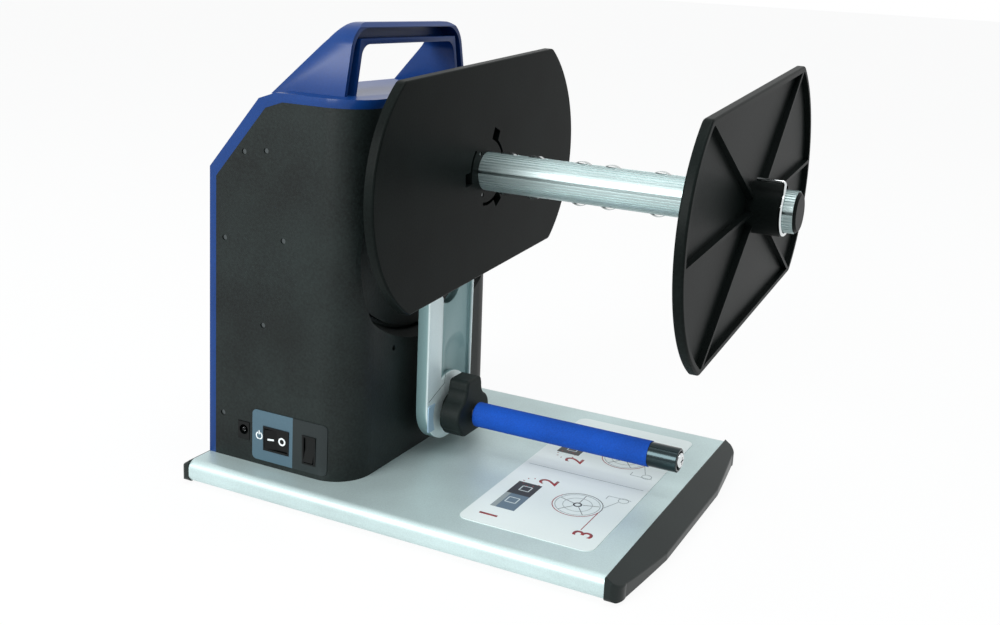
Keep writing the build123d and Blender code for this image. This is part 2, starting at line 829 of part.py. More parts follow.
motor_rear = motor_plate_rear - motor_gearbox_length - motor_can_length
with BuildPart() as gear_motor:
    with BuildSketch(motor_axis_plane(motor_plate_rear)):
        Circle(motor_radius)
    extrude(amount=-motor_gearbox_length)
    with BuildSketch(motor_axis_plane(motor_plate_rear - motor_gearbox_length)):
        Circle(motor_radius - 1)
    extrude(amount=-motor_can_length)
    with BuildSketch(motor_axis_plane(motor_plate_rear)):
        Circle(motor_shaft_radius + 3.8)
    extrude(amount=frame_sheet)
    with BuildSketch(motor_axis_plane(motor_plate_front)):
        Circle(motor_shaft_radius + fit_gap)
    extrude(amount=-frame_sheet - 12, mode=Mode.SUBTRACT)
    with BuildSketch(motor_axis_plane(motor_plate_rear)):
        with PolarLocations(motor_screw_circle, 4, 45):
            Circle(screw_radius)
    extrude(amount=-5, mode=Mode.SUBTRACT)
    with BuildSketch(motor_axis_plane(motor_rear)):
        with GridLocations(12, 0, 2, 1):
            Rectangle(1, 3)
    extrude(amount=-4)
save(gear_motor, "gear_motor")

with BuildPart() as motor_screws:
    with BuildSketch(motor_axis_plane(motor_plate_front)):
        with PolarLocations(motor_screw_circle, 4, 45):
            Circle(screw_radius)
    extrude(amount=-frame_sheet - 4.5)
    with BuildSketch(motor_axis_plane(motor_plate_front)):
        with PolarLocations(motor_screw_circle, 4, 45):
            Circle(screw_head_radius)
    extrude(amount=screw_head_height)
save(motor_screws, "motor_screws")

with BuildPart() as motor_shaft:
    with BuildSketch(motor_axis_plane(motor_plate_front - frame_sheet - 11.5)):
        Circle(motor_shaft_radius)
    extrude(amount=gear_front - motor_plate_front + frame_sheet + 12.5)
save(motor_shaft, "motor_shaft")

with BuildPart() as motor_pinion:
    with BuildSketch(motor_axis_plane(gear_front - gear_width - 0.5)):
        add(gear_outline(pinion_teeth, 180 / pinion_teeth))
        Circle(motor_shaft_radius, mode=Mode.SUBTRACT)
    extrude(amount=gear_width + 1)
save(motor_pinion, "motor_pinion")

# ---------------------------------------------------------------- control board
board_left = -97.0
board_right = -59.0
board_near = -50.0
board_far = 22.0
board_thick = 1.6
board_rise = 6.0
board_middle = ((board_left + board_right) / 2, (board_near + board_far) / 2)
board_span = (board_right - board_left - 8, board_far - board_near - 8)
with BuildPart() as board_standoffs:
    with BuildSketch(Plane.XY.offset(base_top + frame_sheet)):
        with Locations(board_middle):
            with GridLocations(*board_span, 2, 2):
                Circle(2.5)
    extrude(amount=board_rise)
save(board_standoffs, "board_standoffs")

with BuildPart() as control_board:
    with BuildSketch(Plane.XY.offset(base_top + frame_sheet + board_rise)):
        with Locations(board_middle):
            Rectangle(board_right - board_left, board_far - board_near)
    extrude(amount=board_thick)
    with BuildSketch(Plane.XY.offset(base_top + frame_sheet + board_rise + board_thick)):
        with Locations((board_left + 10, board_near + 12), (board_left + 10, board_near + 26)):
            Circle(4)
        with Locations((board_right - 12, board_near + 20)):
            Rectangle(12, 12)
        with Locations((board_right - 8, board_far - 12)):
            Rectangle(6, 14)
    extrude(amount=6)
save(control_board, "control_board")

# ---------------------------------------------------------------- switch panel
with BuildPart() as switch_panel:
    for outset, role in ((panel_thick, Mode.ADD), (0, Mode.SUBTRACT)):
        loft(housing_sections(-outset, housing_front, housing_rear - outset, housing_corner), mode=role)
    with BuildSketch(Plane.XZ.offset(housing_half_base - 5)):
        with Locations(panel_middle):
            RectangleRounded(panel_right - panel_left, panel_high - panel_low, 3)
        with Locations((power_x, power_z)):
            Rectangle(power_length + 2 * bezel_rim, power_width + 2 * bezel_rim, mode=Mode.SUBTRACT)
        with Locations((direction_x, direction_z)):
            Rectangle(
                direction_width + 2 * bezel_rim, direction_length + 2 * bezel_rim, mode=Mode.SUBTRACT
            )
    extrude(amount=10, mode=Mode.INTERSECT)
save(switch_panel, "switch_panel")

# ---------------------------------------------------------------- power inlet
jack_face = half_width(jack_z)
with BuildPart() as dc_jack:
    with BuildSketch(Plane.XZ.offset(jack_face + 0.3)):
        with Locations((jack_x, jack_z)):
            Rectangle(jack_width, jack_height)
    extrude(amount=-jack_depth)
    with BuildSketch(Plane.XZ.offset(jack_face + 0.3)):
        with Locations((jack_x, jack_z + 0.6)):
            Circle(3.1)
            Circle(jack_pin_radius, mode=Mode.SUBTRACT)
    extrude(amount=-9, mode=Mode.SUBTRACT)
save(dc_jack, "dc_jack")


# ---------------------------------------------------------------- rocker switches
def rocker_profile(length, lead, sink):
    """A rocker seen end on: two flats at an angle on top, arcs about its pivot at the ends."""
    reach = length / 2
    with BuildSketch() as profile:
        with BuildLine():
            Polyline((-reach, lead), (0, lead - 0.9), (reach, lead))
            ThreePointArc((reach, lead), (hypot(reach, lead), 0), (reach, -lead))
            Polyline((reach, -lead), (0, -sink), (-reach, -lead))
            ThreePointArc((-reach, -lead), (-hypot(reach, lead), 0), (-reach, lead))
        make_face()
    return profile.sketch


def switch_body(length, width, plane):
    """A switch's body: a rim in the wall and a box behind it with a well for the rocker."""
    with BuildPart() as body:
        with BuildSketch(plane.offset(bezel_proud)):
            Rectangle(length + 2 * bezel_rim - 0.1, width + 2 * bezel_rim - 0.1)
        extrude(amount=-switch_depth)
        well = hypot(length / 2, 2.0) + rocker_gap
        with BuildSketch(plane.offset(bezel_proud)):
            Rectangle(2 * well, width + 2 * rocker_gap)
        extrude(amount=-8.5, mode=Mode.SUBTRACT)
    return body


power_face = half_width(power_z)
power_plane = Plane(origin=(power_x, -power_face, power_z), x_dir=(1, 0, 0), z_dir=(0, -1, 0))
direction_face = half_width(direction_z)
direction_plane = Plane(
    origin=(direction_x, -direction_face, direction_z), x_dir=(0, 0, 1), z_dir=(0, -1, 0)
)
rocker_sink = 1.2
power_switch_body = switch_body(power_length, power_width, power_plane)
save(power_switch_body, "power_switch_body")
direction_switch_body = switch_body(direction_length, direction_width, direction_plane)
save(direction_switch_body, "direction_switch_body")

power_pivot = -power_face + rocker_sink
with BuildPart() as power_rocker:
    turn = radians(power_tilt)
    with BuildSketch(
        Plane(
            origin=(power_x, power_pivot, power_z - power_width / 2),
            x_dir=(cos(turn), sin(turn), 0),
            z_dir=(0, 0, -1),
        ).offset(-power_width)
    ):
        add(rocker_profile(power_length, 2.0, 3.5))
    extrude(amount=power_width)
save(power_rocker, "power_rocker")

direction_pivot = -direction_face + rocker_sink
with BuildPart() as direction_rocker:
    turn = radians(direction_tilt)
    with BuildSketch(
        Plane(
            origin=(direction_x - direction_width / 2, direction_pivot, direction_z),
            x_dir=(0, sin(turn), cos(turn)),
            z_dir=(1, 0, 0),
        )
    ):
        add(rocker_profile(direction_length, 2.0, 3.5))
    extrude(amount=direction_width)
save(direction_rocker, "direction_rocker")

# ---------------------------------------------------------------- spindle shaft and gear
gear_rear = gear_front - gear_width
with BuildPart() as spindle_shaft:
    with BuildSketch(spindle_plane(gear_rear - 1.5)):
        Circle(shaft_radius)
    extrude(amount=drive_face - gear_rear + 1.5)
    with BuildSketch(spindle_plane(drive_face - drive_disc_thick)):
        Circle(drive_disc_radius)
    extrude(amount=drive_disc_thick)
    with BuildSketch(spindle_plane(drive_face)):
        Circle(tube_bore_radius - fit_gap)
    extrude(amount=60)
    with BuildSketch(spindle_plane(drive_face - drive_disc_thick)):
        with PolarLocations(drive_screw_circle, 3, 10):
            Circle(1.25)
    extrude(amount=drive_disc_thick, mode=Mode.SUBTRACT)
save(spindle_shaft, "spindle_shaft")

with BuildPart() as spindle_gear:
    with BuildSketch(spindle_plane(gear_rear)):
        add(gear_outline(spindle_teeth, 0))
        with PolarLocations(18, 6):
            Circle(5, mode=Mode.SUBTRACT)
        Circle(shaft_radius, mode=Mode.SUBTRACT)
    extrude(amount=gear_width)
    with BuildSketch(spindle_plane(gear_front)):
        Circle(shaft_radius + 4)
        Circle(shaft_radius, mode=Mode.SUBTRACT)
    extrude(amount=2)
save(spindle_gear, "spindle_gear")

# ---------------------------------------------------------------- core tube
# Aluminium extrusion with four T-slots and fine flutes between them.
with BuildPart() as core_tube:
    tube_plane = flange_plane(drive_face, tube_turn)
    with BuildSketch(tube_plane):
        Circle(tube_radius)
        Circle(tube_bore_radius, mode=Mode.SUBTRACT)
        with PolarLocations(tube_radius - flute_depth / 2 + 0.1, flute_count, 180 / flute_count):
            Rectangle(flute_depth + 0.2, flute_width, mode=Mode.SUBTRACT)
        for first_angle, mouth in ((90, slot_mouth), (0, side_slot_mouth)):
            with PolarLocations(tube_radius, 2, first_angle):
                Rectangle(2 * slot_lip + 1, mouth, mode=Mode.SUBTRACT)
        with PolarLocations(tube_radius - (slot_lip + slot_depth) / 2, 4):
            Rectangle(slot_depth - slot_lip, slot_inner_width, mode=Mode.SUBTRACT)
    extrude(amount=tube_end - drive_face)
save(core_tube, "core_tube")

with BuildPart() as tube_end_plug:
    with BuildSketch(flange_plane(tube_end, 0)):
        Circle(tube_radius - 0.6)
    extrude(amount=1.6)
    chamfer(tube_end_plug.edges().group_by(Axis.X)[-1], 1.2)
    with BuildSketch(flange_plane(tube_end, 0)):
        Circle(tube_bore_radius - 0.1)
    extrude(amount=-10)
save(tube_end_plug, "tube_end_plug")

# Leaf springs: each has two bows that stand proud of the tube and grip the core.
leaf_floor = tube_radius - slot_depth + 0.1
bow_peak = tube_radius + bow_proud - leaf_thick
with BuildPart() as core_springs:
    for opposite in (0, 180):
        angle = radians(tube_turn + 90 + opposite)
        for leaf in range(leaf_count):
            first = leaf_first + leaf * leaf_pitch
            leaf_plane = Plane(
                origin=(first, 0, spindle_height),
                x_dir=(1, 0, 0),
                z_dir=(0, sin(angle), -cos(angle)),
            )
            with BuildSketch(leaf_plane):
                with BuildLine():
                    start = Line(
                        (-bow_half_length - 4, leaf_floor), (-bow_half_length, leaf_floor)
                    )
                    up = ThreePointArc(
                        start @ 1, (0, bow_peak), (bow_half_length, leaf_floor)
                    )
                    between = Line(up @ 1, (bow_pitch - bow_half_length, leaf_floor))
                    second = ThreePointArc(
                        between @ 1,
                        (bow_pitch, bow_peak),
                        (bow_pitch + bow_half_length, leaf_floor),
                    )
                    Line(second @ 1, (bow_pitch + bow_half_length + 4, leaf_floor))
                    offset(amount=leaf_thick, side=Side.LEFT, closed=True)
                make_face()
            extrude(amount=leaf_width / 2, both=True)
save(core_springs, "core_springs")

# ---------------------------------------------------------------- inner flange
flange_recess = flange_rim_thick - flange_plate
flange_flat_end = flange_half_length - flange_end_radius
flange_flat_end += (flange_end_radius**2 - flange_half_height**2) ** 0.5
flange_diagonal = hypot(flange_flat_end, flange_half_height)
diagonal_angle = degrees(acos(flange_flat_end / flange_diagonal))
rib_angles = [
    0, diagonal_angle, 180 - diagonal_angle, 180, 180 + diagonal_angle, 360 - diagonal_angle,
]
with BuildPart() as inner_flange:
    back = flange_plane(drive_face, inner_flange_turn)
    with BuildSketch(back):
        add(flange_outline(0, flange_corner))
    extrude(amount=flange_rim_thick)
    fillet(inner_flange.edges().group_by(Axis.X)[-1], flange_edge)
    with BuildSketch(back):
        add(flange_outline(flange_rim_width, flange_corner - 2))
    extrude(amount=flange_recess, mode=Mode.SUBTRACT)
    with BuildSketch(back):
        Circle(hub_disc_radius)
    extrude(amount=flange_recess)
    with BuildSketch(back):
        for angle in rib_angles:
            reach = flange_half_length - 2 if angle % 180 == 0 else flange_diagonal - 4
            with Locations((reach / 2 * cos(radians(angle)), reach / 2 * sin(radians(angle)))):
                Rectangle(reach, rib_thick, rotation=angle)
    extrude(amount=flange_recess)
    with BuildSketch(back):
        Circle(tube_radius + 0.1)
        with PolarLocations(drive_screw_circle, 3, 10 - inner_flange_turn):
            Circle(1.25)
    extrude(amount=flange_rim_thick, mode=Mode.SUBTRACT)
    # three bayonet pockets round the tube: a window and an arc slot that runs on from it
    with BuildSketch(flange_plane(inner_flange_face, inner_flange_turn)):
        for pocket in range(3):
            angle = window_angle + 120 * pocket - inner_flange_turn
            with BuildLine(mode=Mode.PRIVATE) as pocket_arc:
                CenterArc((0, 0), window_slot_circle, angle - window_slot_turn, window_slot_turn)
            SlotArc(pocket_arc.edge(), window_slot_width)
            place = (window_circle * cos(radians(angle)), window_circle * sin(radians(angle)))
            with Locations(place):
                Rectangle(window_size, window_size, rotation=angle)
    extrude(amount=-window_depth, mode=Mode.SUBTRACT)
save(inner_flange, "inner_flange")

with BuildPart() as flange_screws:
    with BuildSketch(spindle_plane(drive_face - drive_disc_thick)):
        with PolarLocations(drive_screw_circle, 3, 10):
            Circle(1.25)
    extrude(amount=drive_disc_thick + flange_rim_thick - 0.5)
    with BuildSketch(spindle_plane(drive_face - drive_disc_thick)):
        with PolarLocations(drive_screw_circle, 3, 10):
            Circle(2.3)
    extrude(amount=-1.3)
save(flange_screws, "flange_screws")

# ---------------------------------------------------------------- outer flange
with BuildPart() as outer_flange:
    face = flange_plane(outer_flange_face, outer_flange_turn)
    with BuildSketch(face):
        add(flange_outline(0, flange_corner))
    extrude(amount=flange_rim_thick)
    fillet(outer_flange.edges().filter_by(Plane.YZ), flange_edge)
    with BuildSketch(face.offset(flange_plate)):
        add(flange_outline(flange_rim_width, flange_corner - 2))
    extrude(amount=flange_recess, mode=Mode.SUBTRACT)
    with BuildSketch(face):
        Circle(hub_radius)
    extrude(amount=hub_length)
    for angle in rib_angles:
        along = radians(angle + outer_flange_turn)
        reach = flange_half_length - 1.5 if angle % 180 == 0 else flange_diagonal - 3
        rib_plane = Plane(
            origin=(outer_flange_face, 0, spindle_height),
            x_dir=(0, cos(along), sin(along)),
            z_dir=(0, sin(along), -cos(along)),
        )
        with BuildSketch(rib_plane):
            with BuildLine():
                Polyline(
                    (hub_radius - 1, flange_plate - 0.2),
                    (reach, flange_plate - 0.2),
                    (reach, flange_rim_thick),
                    (hub_radius - 1, rib_crest),
                    close=True,
                )
            make_face()
        extrude(amount=rib_thick / 2, both=True)
    with BuildSketch(face):
        Circle(tube_radius + 0.1)
    extrude(amount=hub_length, mode=Mode.SUBTRACT)
    # the leaf springs pass through these slots when the flange is slid along
    with BuildSketch(flange_plane(outer_flange_face, tube_turn)):
        Rectangle(leaf_width + 1.6, 2 * (tube_radius + bow_proud + 0.5))
    extrude(amount=hub_length, mode=Mode.SUBTRACT)
save(outer_flange, "outer_flange")

# Wire clip on the hub's end that grips the tube.
clip_station = outer_flange_face + hub_length + clip_wire_radius
clip_radius = tube_radius + 0.3 + clip_wire_radius
clip_arm_y = -8.0
clip_arm_z = spindle_height + 16.5
clip_start_y = clip_arm_y - 1
clip_start_z = (clip_radius**2 - clip_start_y**2) ** 0.5
clip_start = (clip_station, clip_start_y, spindle_height + clip_start_z)
spindle_axis = Axis((0, 0, spindle_height), (1, 0, 0))
with BuildPart() as flange_clip:
    with BuildLine() as clip_path:
        FilletPolyline(
            (clip_station - 15, clip_arm_y, clip_arm_z),
            (clip_station, clip_arm_y, clip_arm_z),
            (clip_station, 0.97 * clip_start_y, spindle_height + 0.97 * clip_start_z),
            radius=1.5,
        )
    with BuildSketch(Plane(origin=clip_path.line @ 0, z_dir=(1, 0, 0))):
        Circle(clip_wire_radius)
    sweep()
    with BuildSketch(Plane(origin=clip_start, x_dir=(1, 0, 0), z_dir=(0, -clip_start_z, clip_start_y))):
        Circle(clip_wire_radius)
    revolve(axis=spindle_axis, revolution_arc=clip_sweep)
save(flange_clip, "flange_clip")

# ---------------------------------------------------------------- tension arm
# Moulded arm: a raised ledge on the near side, a trough beside it that ends in an arched pocket
# above the knob's round boss, and a thin rim along the far edge.
arm_length = arm_reach + arm_foot_reach


def arch_outline(middle, half, rise):
    """An arch over the roller's axis with straight sides down to a level foot, in the YZ plane."""
    with BuildSketch() as outline:
        with Locations((middle, rise - half)):
            Circle(half)
        with Locations((middle, rise / 2)):
            Rectangle(2 * half, rise - 2 * half)
    return outline.sketch


with BuildPart() as tension_arm:
    with BuildSketch(spindle_plane(arm_back)) as arm_outline:
        with Locations((0, -arm_length / 2)):
            Rectangle(2 * arm_half_width, arm_length)
        fillet(arm_outline.vertices().group_by(Axis.Y)[0], arm_end_corner)
        Circle(arm_hub_radius)
    extrude(amount=arm_thick)
    with BuildSketch(spindle_plane(carrier_shoulder + 0.5)):
        Circle(journal_radius + bush_wall + 4)
    extrude(amount=arm_back - carrier_shoulder)
    with BuildSketch(spindle_plane(carrier_shoulder)):
        Circle(journal_radius + bush_wall)
    extrude(amount=arm_front - carrier_shoulder + 1, mode=Mode.SUBTRACT)
    # the trough, with a long slope down from the ledge
    with BuildPart(mode=Mode.SUBTRACT):
        with BuildSketch(Plane.XY.offset(roller_height)):
            with BuildLine():
                Polyline(
                    (arm_front + 1, arm_ledge_edge),
                    (arm_front, arm_ledge_edge),
                    (arm_front - arm_trough_depth, arm_ledge_edge + arm_trough_slope),
                    (arm_front - arm_trough_depth, arm_half_width - arm_rim_width),
                    (arm_front + 1, arm_half_width - arm_rim_width),
                    close=True,
                )
            make_face()
        extrude(amount=arm_reach - arm_hub_radius)
        with BuildSketch(roller_plane(arm_back)):
            Circle(arm_boss_radius)
        extrude(amount=arm_thick + 2, mode=Mode.SUBTRACT)
    with BuildSketch(roller_plane(arm_front - arm_trough_depth)):
        add(arch_outline(arch_middle, arch_half_width, arch_rise))
    with BuildSketch(roller_plane(arm_front - arm_trough_depth - arch_depth)):
        add(arch_outline(bullet_middle, bullet_half_width, bullet_rise))
    loft(mode=Mode.SUBTRACT)
    with BuildSketch(spindle_plane(arm_back)):
        with Locations((0, -arm_window_drop)):
            Circle(arm_window_radius)
    extrude(amount=arm_thick, mode=Mode.SUBTRACT)
    with BuildSketch(roller_plane(arm_back)):
        Circle(stud_radius)
    extrude(amount=arm_thick, mode=Mode.SUBTRACT)
    with BuildSketch(spindle_plane(arm_back)):
        with Locations((0, -stop_radius)):
            Circle(stop_pin_radius)
    extrude(amount=arm_thick / 2, mode=Mode.SUBTRACT)
save(tension_arm, "tension_arm")

with BuildPart() as arm_bush:
    with BuildSketch(spindle_plane(carrier_shoulder + 0.4)):
        Circle(journal_radius + bush_wall)
        Circle(journal_radius + fit_gap, mode=Mode.SUBTRACT)
    extrude(amount=arm_front - carrier_shoulder - 0.4)
save(arm_bush, "arm_bush")

with BuildPart() as arm_stop_pin:
    with BuildSketch(spindle_plane(recess_floor + 0.8)):
        with Locations((0, -stop_radius)):
            Circle(stop_pin_radius)
    extrude(amount=arm_back + arm_thick / 2 - recess_floor - 0.8)
save(arm_stop_pin, "arm_stop_pin")

# Rubber pad let into the near corner of the arm's foot.
with BuildPart() as arm_pad:
    with BuildSketch(roller_plane(arm_front)):
        with Locations((pad_width / 2 - arm_half_width + 0.8, 0)):
            RectangleRounded(pad_width, pad_length, 1)
        Circle(knob_wing_reach + 0.6, mode=Mode.SUBTRACT)
    extrude(amount=pad_thick)
save(arm_pad, "arm_pad")

# ---------------------------------------------------------------- roller on its stud
stud_start = arm_back - 5
with BuildPart() as roller_shaft:
    with BuildSketch(roller_plane(stud_start)):
        Circle(stud_radius)
    extrude(amount=roller_end - 2.5 - stud_start)
save(roller_shaft, "roller_shaft")

with BuildPart() as stud_nut:
    with BuildSketch(roller_plane(arm_back)):
        RegularPolygon(5.5, 6)
        Circle(stud_radius, mode=Mode.SUBTRACT)
    extrude(amount=-4)
save(stud_nut, "stud_nut")

bush_length = 8.0
with BuildPart() as roller_bushes:
    for station in (roller_start + 0.5, roller_foam_end - bush_length):
        with BuildSketch(roller_plane(station)):
            Circle(roller_tube_radius - 1)
            Circle(stud_radius + fit_gap, mode=Mode.SUBTRACT)
        extrude(amount=bush_length)
save(roller_bushes, "roller_bushes")

with BuildPart() as roller_tube:
    with BuildSketch(roller_plane(roller_start + 0.5)):
        Circle(roller_tube_radius)
        Circle(roller_tube_radius - 1, mode=Mode.SUBTRACT)
    extrude(amount=roller_foam_end - roller_start - 0.5)
save(roller_tube, "roller_tube")

with BuildPart() as roller_foam:
    with BuildSketch(roller_plane(roller_start)):
        Circle(roller_radius)
        Circle(roller_tube_radius, mode=Mode.SUBTRACT)
    extrude(amount=roller_foam_end - roller_start)
    fillet(roller_foam.edges().group_by(Axis.X)[0].sort_by(SortBy.LENGTH)[-1], 1.2)
save(roller_foam, "roller_foam")

with BuildPart() as roller_collar:
    with BuildSketch(roller_plane(roller_foam_end)):
        Circle(roller_collar_radius)
        Circle(stud_radius + 0.3, mode=Mode.SUBTRACT)
    extrude(amount=roller_end - roller_foam_end)
    with BuildSketch(roller_plane(roller_end - 2.6)):
        Circle(stud_screw_radius + 1)
    extrude(amount=2.6, mode=Mode.SUBTRACT)
    chamfer(roller_collar.edges().group_by(Axis.X)[-1].sort_by(SortBy.LENGTH)[-1], 0.5)
save(roller_collar, "roller_collar")

with BuildPart() as roller_end_screw:
    with BuildSketch(roller_plane(roller_end - 2.2)):
        Circle(stud_screw_radius)
    extrude(amount=3.6)
    fillet(roller_end_screw.edges().group_by(Axis.X)[-1], 1.4)
    with BuildSketch(roller_plane(roller_end + 0.2)):
        Rectangle(5, 0.9)
        Rectangle(0.9, 5)
    extrude(amount=2, mode=Mode.SUBTRACT)
    with BuildSketch(roller_plane(roller_end - 2.5)):
        Circle(stud_radius)
    extrude(amount=0.3)
save(roller_end_screw, "roller_end_screw")

# ---------------------------------------------------------------- star knob
# Moulded grip with one upright lobe and two wings, drawn in at the waist between them.
with BuildPart() as star_knob:
    with BuildSketch(roller_plane(knob_back)) as knob_outline:
        with BuildLine():
            neck = Line((0, knob_top), (knob_top_half, knob_top))
            side = Line(neck @ 1, (knob_waist_half - 1.2, knob_waist_rise + 5))
            waist_end = ((knob_waist_half + knob_wing_reach) / 2 - 0.6, knob_waist_rise - 3.4)
            waist = ThreePointArc(side @ 1, (knob_waist_half + 0.1, knob_waist_rise), waist_end)
            wing = ThreePointArc(
                waist @ 1, (knob_wing_reach, 1), (knob_wing_reach - 3.6, -knob_wing_drop)
            )
            heel = ThreePointArc(
                wing @ 1,
                (knob_foot_half + 4.2, -knob_foot_drop + 2.0),
                (knob_foot_half, -knob_foot_drop),
            )
            Line(heel @ 1, (0, -knob_foot_drop))
            Line((0, -knob_foot_drop), (0, knob_top))
        make_face()
        mirror(about=Plane.YZ)
        crest = knob_outline.vertices().group_by(Axis.Y)[-1].sort_by(Axis.X)
        fillet([crest[0], crest[-1]], knob_corner)
    extrude(amount=knob_front - knob_back)
    fillet(star_knob.edges().group_by(Axis.X)[-1], knob_edge)
    with BuildSketch(roller_plane(knob_back)):
        Circle(10)
    extrude(amount=arm_front + 0.3 - knob_back)
    with BuildSketch(roller_plane(arm_front)):
        Circle(stud_radius + knob_bore_gap)
    extrude(amount=knob_front - arm_front, mode=Mode.SUBTRACT)
save(star_knob, "star_knob")
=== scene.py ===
from math import cos, pi, radians, sin

import bmesh
import bpy
from mathutils import Matrix, Vector


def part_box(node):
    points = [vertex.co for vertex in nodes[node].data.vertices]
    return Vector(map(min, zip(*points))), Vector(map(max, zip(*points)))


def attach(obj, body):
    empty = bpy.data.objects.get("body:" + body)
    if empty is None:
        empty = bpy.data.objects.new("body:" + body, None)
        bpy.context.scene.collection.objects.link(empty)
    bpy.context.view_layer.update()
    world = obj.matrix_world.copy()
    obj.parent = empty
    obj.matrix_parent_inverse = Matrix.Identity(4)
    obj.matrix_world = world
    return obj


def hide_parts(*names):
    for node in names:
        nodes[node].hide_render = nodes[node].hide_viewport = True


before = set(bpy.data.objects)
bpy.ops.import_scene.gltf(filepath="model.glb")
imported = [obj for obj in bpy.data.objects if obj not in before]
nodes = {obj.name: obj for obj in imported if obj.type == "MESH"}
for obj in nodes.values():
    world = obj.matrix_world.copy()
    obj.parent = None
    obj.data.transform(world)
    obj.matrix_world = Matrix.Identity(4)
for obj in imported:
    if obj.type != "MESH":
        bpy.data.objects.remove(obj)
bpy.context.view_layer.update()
scene = bpy.context.scene
scene.view_settings.view_transform = "Standard"

# ---------------------------------------------------------------- camera
# It stands in front of the switch side, right of the spindle and a little above it, held
# slightly askew, and its lens is shifted because the picture was cropped.
MM = 0.001
camera_place = Vector((315.1, -586.8, 303.5)) * MM
camera_azimuth = radians(23.69)
camera_elevation = radians(13.55)
camera_roll = radians(3.41)

backward = Vector(
    (
        sin(camera_azimuth) * cos(camera_elevation),
        -cos(camera_azimuth) * cos(camera_elevation),
        sin(camera_elevation),
    )
)
level_right = Vector((cos(camera_azimuth), sin(camera_azimuth), 0))
level_up = backward.cross(level_right)
right = level_right * cos(camera_roll) + level_up * sin(camera_roll)
up = level_up * cos(camera_roll) - level_right * sin(camera_roll)
camera_data = bpy.data.cameras.new("camera")
camera_data.sensor_width = 36
camera_data.lens = 40.8
camera_data.shift_x = -0.0679
camera_data.shift_y = -0.0553
camera = bpy.data.objects.new("camera", camera_data)
camera.matrix_world = Matrix((right, up, backward)).transposed().to_4x4()
camera.location = camera_place
scene.collection.objects.link(camera)
scene.camera = camera


# ---------------------------------------------------------------- floor, world and lamps
# A pale floor that runs into a white world, so that the machine stands as if cut out on white.
# The key light comes from the switch side and the left, with a soft light overhead.
def hex_colour(code):
    """An sRGB hex colour as linear RGBA."""
    channels = [int(code[place : place + 2], 16) / 255 for place in (1, 3, 5)]
    linear = [c / 12.92 if c <= 0.04045 else ((c + 0.055) / 1.055) ** 2.4 for c in channels]
    return (*linear, 1.0)


def add_node(tree, kind, inputs=None, **settings):
    """Adds a node to a tree. An input that is a socket is linked, and any other is set."""
    node = tree.nodes.new(kind)
    for name, value in settings.items():
        setattr(node, name, value)
    for name, value in (inputs or {}).items():
        if isinstance(value, bpy.types.NodeSocket):
            tree.links.new(value, node.inputs[name])
        else:
            node.inputs[name].default_value = value
    return node


def new_material(name):
    """An empty material and its node tree."""
    material = bpy.data.materials.new(name)
    material.use_nodes = True
    material.node_tree.nodes.clear()
    return material, material.node_tree


floor_half_size = 30.0
floor_white_share = 0.93

# Matt pale paint. To the eye it is white where it is seen or mirrored, and it takes the shadow.
floor_material, tree = new_material("pale_floor")
light_path = add_node(tree, "ShaderNodeLightPath")
floor_diffuse = add_node(tree, "ShaderNodeBsdfDiffuse", {"Color": hex_colour("#F4F6F6")})
floor_white = add_node(tree, "ShaderNodeEmission", {"Color": (1, 1, 1, 1), "Strength": 1.0})
seen = add_node(
    tree,
    "ShaderNodeMath",
    {0: light_path.outputs["Is Camera Ray"], 1: light_path.outputs["Is Glossy Ray"]},
    operation="MAXIMUM",
)
white_share = add_node(
    tree, "ShaderNodeMath", {0: seen.outputs[0], 1: floor_white_share}, operation="MULTIPLY"
)
floor_mix = add_node(
    tree,
    "ShaderNodeMixShader",
    {0: white_share.outputs[0], 1: floor_diffuse.outputs[0], 2: floor_white.outputs[0]},
)
add_node(tree, "ShaderNodeOutputMaterial", {"Surface": floor_mix.outputs[0]})

floor_mesh = bpy.data.meshes.new("floor")
build = bmesh.new()
bmesh.ops.create_grid(build, x_segments=1, y_segments=1, size=floor_half_size)
build.to_mesh(floor_mesh)
build.free()
floor = bpy.data.objects.new("floor", floor_mesh)
floor_mesh.materials.append(floor_material)
scene.collection.objects.link(floor)

world = bpy.data.worlds.new("studio")
scene.world = world
world.use_nodes = True
tree = world.node_tree
tree.nodes.clear()
light_path = add_node(tree, "ShaderNodeLightPath")
seen = add_node(
    tree,
    "ShaderNodeMath",
    {0: light_path.outputs["Is Camera Ray"], 1: light_path.outputs["Is Glossy Ray"]},
    operation="MAXIMUM",
)
seen = add_node(
    tree,
    "ShaderNodeMath",
    {0: seen.outputs[0], 1: light_path.outputs["Is Transmission Ray"]},
    operation="MAXIMUM",
)
cool_daylight = (0.9, 0.98, 1, 1)
soft_sky = add_node(tree, "ShaderNodeBackground", {"Color": cool_daylight, "Strength": 0.45})
white_sky = add_node(tree, "ShaderNodeBackground", {"Color": (1, 1, 1, 1), "Strength": 1.0})
sky = add_node(
    tree,
    "ShaderNodeMixShader",
    {0: seen.outputs[0], 1: soft_sky.outputs[0], 2: white_sky.outputs[0]},
)
add_node(tree, "ShaderNodeOutputWorld", {"Surface": sky.outputs[0]})


def add_softbox(name, place, aim, size, power):
    """A square area light at a place, facing another."""
    data = bpy.data.lights.new(name, "AREA")
    data.size = size
    data.energy = power
    light = bpy.data.objects.new(name, data)
    light.location = place
    light.rotation_euler = (Vector(aim) - Vector(place)).to_track_quat("-Z", "Y").to_euler()
    scene.collection.objects.link(light)


object_middle = (0.0, 0.0, 0.12)
add_softbox("key_front_left", (-0.5, -1.6, 0.9), object_middle, 0.9, 27)
add_softbox("top_soft", (0.3, -0.1, 1.8), object_middle, 1.2, 14)


